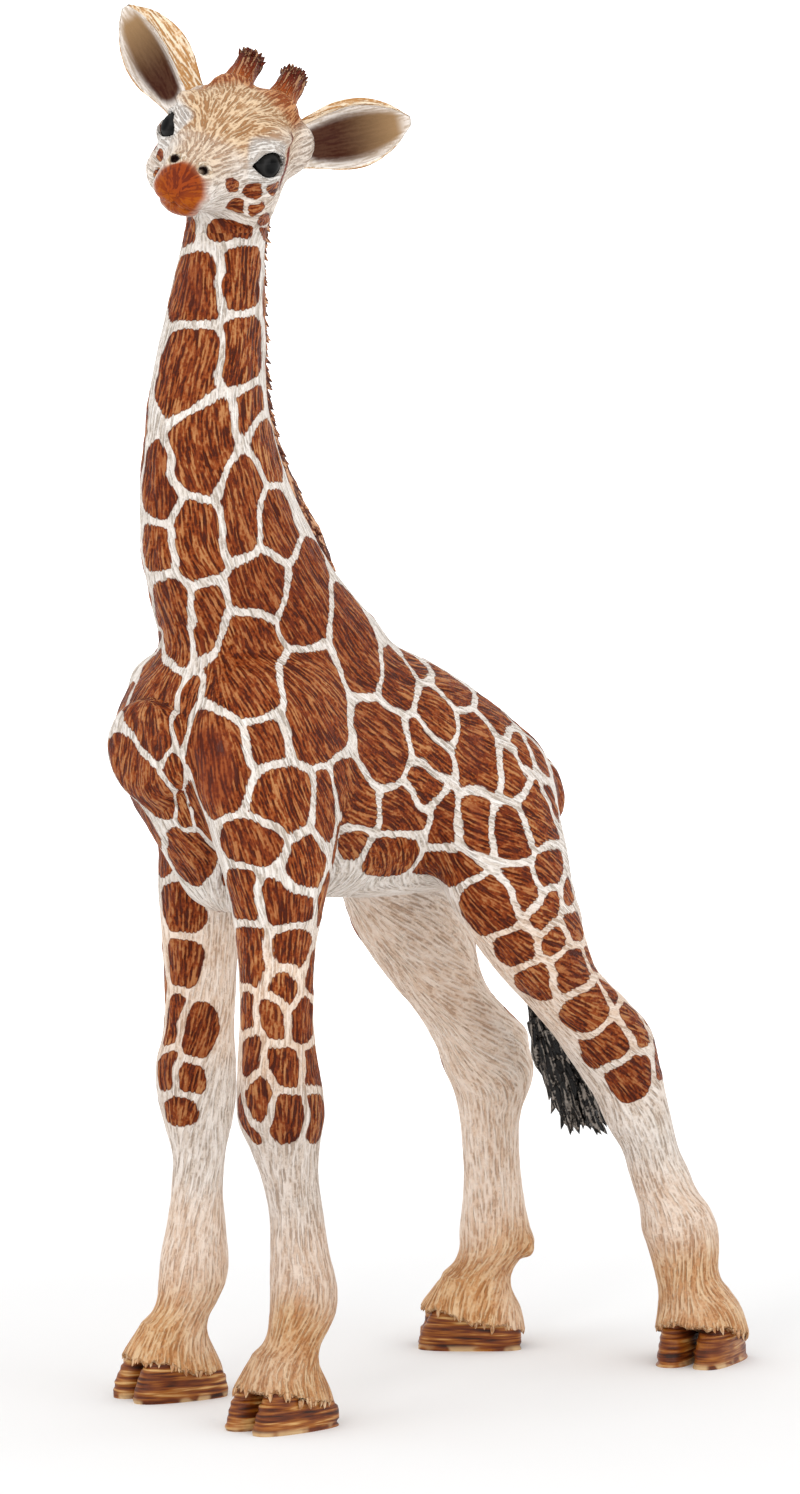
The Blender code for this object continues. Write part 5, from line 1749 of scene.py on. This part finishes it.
def ear_piece(name, side, rolled):
    """A cupped leaf on a short root. Its upper edge is rolled forward over a share of the cup."""
    across = np.array(EAR_LEAN.cross(Vector((0, 1, 0))).normalized())
    lean = np.array(EAR_LEAN)
    face = np.cross(lean, across)
    root = np.array((HEAD_WIDTH / 2, HEAD_LENGTH, HEAD_DEPTH)) * EAR_SHARES
    back_angles = np.linspace(0, pi, EAR_BACK_SIDES)
    front = -np.cos(np.linspace(0, pi, EAR_FRONT_SIDES))[1:-1]   # from lower to upper edge
    rings, cups, alongs = [], [], []
    for along, half, back, hollow in fine_rows(EAR_SECTION_SHARES, EAR_RINGS):
        centre = root + lean * EAR_LENGTH * along
        wide = across * EAR_WIDTH / 2 * half
        open_share = min(max((along - 0.02) * 5, 0), 1)
        fold = 1 - 2 * rolled * (1.1 - 0.5 * along)
        in_cup = front < fold
        cup_place = np.clip((front + 1) / (fold + 1), 0, 1)
        roll_place = np.clip((front - fold) / (1 - fold), 0, 1)
        shape = np.where(in_cup, np.sin(pi * cup_place)**0.8, -0.42 * np.sin(pi * roll_place)**0.8)
        plain = np.sqrt(1 - front**2)
        shape = plain + (shape - plain) * open_share
        points = [centre + wide * cos(a) - face * (EAR_CUP * back * sin(a)) for a in back_angles]
        points += [centre + wide * (0.9 * u) - face * (EAR_CUP * hollow * s)
                   for u, s in zip(front, shape)]
        rings.append(np.array(points) * (side, 1, 1))
        cups += [0.0] * len(back_angles)
        cups += list(np.where(in_cup, np.sin(pi * cup_place)**0.6 * open_share + 0.08, 0.0))
        alongs += [along] * len(points)
    mesh = loft(rings)
    mark(mesh, "cup", np.clip(cups, 0, 1))
    mark(mesh, "along", np.clip(alongs, 0, 1))
    mesh = set_on_head(divided(mesh, 1))
    mesh.transform(Matrix.Translation(EAR_SHIFT))
    flow = np.tile(HEAD_AXES @ (lean * (side, 1, 1)), (len(mesh.vertices), 1))
    open_here = values_of(mesh.attributes["cup"].data, "value", 1)[:, 0]
    depth = 0.07 * MM * (1 - eased(0.05, 0.3, open_here))
    mesh = furrowed(mesh, flow, 0.36 * MM, 1.5 * MM, depth)
    piece("shell_" + name, mesh, "ear", EAR, name)


HORN_LOCKS = 54
GOLDEN_TURN = radians(137.5)   # from lock to lock, which spreads them evenly


def horn_piece(name, side):
    """A short blunt horn with an uneven top."""
    forward = np.array(Vector((1, 0, 0)).cross(HORN_LEAN))
    lean = np.array(HORN_LEAN)
    root = np.array((HEAD_WIDTH / 2, HEAD_LENGTH, HEAD_DEPTH)) * HORN_SHARES
    rings, alongs = [], []
    angles = np.linspace(0, 2 * pi, HORN_SIDES, endpoint=False)
    for along, radius in fine_rows(HORN_SECTION_SHARES, HORN_RINGS):
        centre = root + lean * HORN_LENGTH * along
        half = HORN_RADIUS * radius * (1 + 0.10 * np.sin(angles * 5 + along * 4) * along)
        ring = np.outer(half * np.cos(angles), (1, 0, 0)) + np.outer(half * np.sin(angles), forward)
        rings.append((centre + ring) * (side, 1, 1))
        alongs += [along] * len(angles)
    mesh = loft(rings)
    mark(mesh, "along", alongs)
    flow = np.tile(HEAD_AXES @ (lean * (side, 1, 1)), (len(mesh.vertices), 1))
    mesh = furrowed(set_on_head(mesh), flow, 0.4 * MM, 1.6 * MM, 0.22 * MM)
    piece("stud_" + name, mesh, "horn", HORN, name)

    random = np.random.default_rng(41)
    places, leans = [], []
    for turn in np.arange(HORN_LOCKS) * GOLDEN_TURN:
        spread_out = (len(places) / HORN_LOCKS)**0.5
        out = np.array((cos(turn), 0, 0)) + forward * sin(turn)
        lift = 0.93 - 0.35 * max(spread_out - 0.75, 0)
        places.append(root + lean * HORN_LENGTH * lift + out * HORN_RADIUS * 0.72 * spread_out)
        leans.append(lean + out * 0.7 * spread_out + 0.5 * (random.random(3) - 0.5))
    places = from_head(np.array(places) * (side, 1, 1))
    leans = unit(np.array(leans) * (side, 1, 1) @ HEAD_AXES.T)
    sizes = 0.7 + 0.5 * random.random(HORN_LOCKS)
    locks_piece("top_" + name, places, leans, sizes, 0.62 * MM, 0.19 * MM, 0.12 * MM, "horn", HORN,
                {"along": 0.78})


def eye_piece(name, side):
    """A ball with a slight bulge where it looks out."""
    centre, _, _, out = eye_frame(side)
    work = bmesh.new()
    bmesh.ops.create_icosphere(work, subdivisions=5, radius=EYE_RADIUS)
    mesh = bpy.data.meshes.new(name)
    work.to_mesh(mesh)
    work.free()
    points = points_of(mesh)
    gaze = unit(points) @ out
    set_points(mesh, points * (1 + 0.05 * eased(0.55, 1.0, gaze))[:, None] + centre)
    mark(mesh, "gaze", np.clip(gaze, 0, 1))
    piece("ball_" + name, close_mesh(set_on_head(mesh)), "eye", EYE, name)


for name, side, rolled in (("left", 1, 0.10), ("right", -1, 0.36)):
    ear_piece("ear_" + name, side, rolled)
    horn_piece("ossicone_" + name, side)
    eye_piece("eye_" + name, side)


def round_ring(centre, half_across, half_along, sides):
    """Points of a level ellipse."""
    angles = np.linspace(0, 2 * pi, sides, endpoint=False)
    flat = np.column_stack([half_across * np.cos(angles), half_along * np.sin(angles), angles * 0])
    return flat + centre


MANE_RINGS, MANE_SIDES, MANE_LOCKS = 260, 36, 900
STEM_RINGS, STEM_SIDES = 60, 28
TUFT_RINGS, TUFT_SIDES, TUFT_LOCKS = 120, 72, 120
TUFT_ROWS = fine_rows(TUFT_SHARES, TUFT_RINGS)


def mane_piece():
    """The strip of hair along the back of the neck."""
    rings = []
    for share, height in fine_rows(MANE_SHARES, MANE_RINGS):
        level, across, along, _, half_deep, _ = neck_row(share)
        high = (MANE_ROOT + MANE_HEIGHT * height) / 2
        thick = MANE_THICKNESS / 2 * (0.6 + 0.4 * height)
        centre = (across, along + half_deep - MANE_ROOT + high, level)
        rings.append(round_ring(centre, thick, high, MANE_SIDES))
    flow = np.tile(unit(np.array((0, 0.45, -0.9))), (len(rings) * MANE_SIDES, 1))
    mesh = furrowed(loft(rings), flow, 0.42 * MM, 1.8 * MM, 0.3 * MM)
    piece("strip_mane", mesh, "mane", MANE, "mane")

    random = np.random.default_rng(51)
    places, leans, sizes = [], [], []
    for share in np.linspace(0.23, 1.12, MANE_LOCKS):
        level, across, along, _, half_deep, _ = neck_row(share)
        height = np.interp(share, *np.array(MANE_SHARES).T)
        angle = (random.random() - 0.5) * pi
        high, thick = MANE_HEIGHT * height, MANE_THICKNESS / 2 * (0.6 + 0.4 * height)
        back = along + half_deep + high * cos(angle) * 0.8 - 0.2 * MM
        places.append((across + thick * sin(angle) * 0.8, back, level))
        drop = -0.85 + 0.5 * (random.random() - 0.5)
        leans.append((0.4 * sin(angle), 0.32 + 0.3 * cos(angle), drop))
        sizes.append((0.45 + 0.7 * height) * (0.8 + 0.4 * random.random()))
    locks_piece("locks_mane", np.array(places), unit(np.array(leans)), np.array(sizes), 1.3 * MM,
                0.28 * MM, 0.2 * MM, "mane", MANE)


def tail_pieces():
    """The stem and the brush at its end."""
    rings = []
    for height, place, radius in fine_rows(STEM_SHARES, STEM_RINGS):
        centre = (0.0, along_trunk(place), LEG_LENGTH * height)
        rings.append(round_ring(centre, TAIL_RADIUS * radius, TAIL_RADIUS * radius, STEM_SIDES))
    mesh = loft(rings)
    count = len(mesh.vertices)
    mesh = furrowed(mesh, np.tile((0.0, 0.0, -1.0), (count, 1)), 0.4 * MM, 1.8 * MM, 0.12 * MM)
    for key, value in {**PALE_MARKS, "groove": 0.5, "warm": 0.3}.items():
        mark(mesh, key, np.full(count, value))
    piece("skin_tail", mesh, "coat", SKIN_MATERIALS["coat"], "tail_stem")

    height, place, _ = STEM_SHARES[-1]
    end = np.array((0.0, along_trunk(place), LEG_LENGTH * height - 0.3 * MM))
    rings = []
    angles = np.linspace(0, 2 * pi, TUFT_SIDES, endpoint=False)
    for along, back, radius in TUFT_ROWS:
        lump = 0.15 * np.sin(angles * 5 + along * 4) + 0.07 * np.sin(angles * 11 - along * 7)
        half = TUFT_RADIUS * radius * 0.92 * (1 + lump)
        rings.append(round_ring(end + (0, TUFT_LENGTH * back, -TUFT_LENGTH * along), half, half,
                                TUFT_SIDES))
    flow = np.tile(unit(np.array((0, 0.45, -1.0))), (len(rings) * TUFT_SIDES, 1))
    mesh = furrowed(loft(rings), flow, 0.6 * MM, 4.0 * MM, 0.6 * MM)
    piece("brush_tail", mesh, "tuft", TUFT, "tail_tuft")

    random = np.random.default_rng(61)
    places, leans, sizes = [], [], []
    for _ in range(TUFT_LOCKS):
        along, back, radius = TUFT_ROWS[int((TUFT_RINGS - 2) * random.random()**0.9)]
        angle = 2 * pi * random.random()
        out = np.array((cos(angle), sin(angle), 0.0))
        centre = end + (0, TUFT_LENGTH * back, -TUFT_LENGTH * along)
        places.append(centre + out * TUFT_RADIUS * radius * 0.78)
        leans.append(out * (0.05 + 0.3 * random.random()) + (0, 0.42, -0.95))
        thinner = (1.0 - 0.65 * along) * (0.5 + 0.5 * min(along * 6, 1))
        sizes.append((0.75 + 0.5 * random.random()) * thinner)
    locks_piece("locks_tail", np.array(places), unit(np.array(leans)), np.array(sizes), 3.6 * MM,
                0.62 * MM, 0.6 * MM, "tuft", TUFT)


mane_piece()
tail_pieces()

# Light and floor

LAMP_AIM = Vector((0, 0, 55)) * MM
GLOW_FROM, GLOW_TO = 0.05, 0.3   # distances from the figure between which the floor grows bright


def lamp(name, place, size, power):
    """A soft square lamp that faces the figure."""
    data = bpy.data.lights.new(name, "AREA")
    data.size = size
    data.energy = power
    made = placed(name, data)
    made.location = place
    made.rotation_euler = (Vector(place) - LAMP_AIM).to_track_quat("Z", "Y").to_euler()


lamp("key", (-0.10, -0.65, 0.70), 0.5, 0.8)
lamp("fill", (0.8, -0.05, 0.14), 0.6, 1.5)
lamp("catch", (0.42, -0.78, 0.34), 0.16, 1.0)   # small, for the shine of the eyes


def seen_directly(tree):
    """1 for rays that show a thing itself or its mirror image, 0 for those that light others."""
    rays = add(tree, "ShaderNodeLightPath").outputs
    either = calc(tree, "MAXIMUM", rays["Is Camera Ray"], rays["Is Glossy Ray"])
    return calc(tree, "MAXIMUM", either, rays["Is Transmission Ray"])


world = bpy.data.worlds.new("studio")
bpy.context.scene.world = world
world.use_nodes = True
tree = world.node_tree
sky = tree.nodes["Background"]
sky.inputs["Color"].default_value = (1, 1, 1, 1)
tree.links.new(spread(tree, seen_directly(tree), 0.0, 1.0, 1.05, 1.0), sky.inputs["Strength"])

FLOOR_RADIUS = 6.0
rim = np.linspace(0, 2 * pi, 64, endpoint=False)
floor_mesh = mesh_of("floor", np.column_stack([np.cos(rim), np.sin(rim), rim * 0]) * FLOOR_RADIUS,
                     [tuple(range(len(rim)))])
floor = placed("floor", floor_mesh)
paper, tree, paper_shader = plastic("white_paper_floor", 0.9, 0.0)
paper_shader.inputs["Base Color"].default_value = linear("#EEEEEE")
far = add(tree, "ShaderNodeVectorMath", {0: own_place(tree)}, operation="LENGTH").outputs["Value"]
bright = spread(tree, far, GLOW_FROM, GLOW_TO, 0.03, 1.0)
glow = calc(tree, "MULTIPLY", bright, seen_directly(tree))
light = add(tree, "ShaderNodeEmission", {"Strength": glow})
both = add(tree, "ShaderNodeAddShader", {0: paper_shader.outputs[0], 1: light.outputs[0]})
tree.links.new(both.outputs[0], tree.nodes["Material Output"].inputs["Surface"])
floor_mesh.materials.append(paper)
floor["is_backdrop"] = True

low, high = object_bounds()
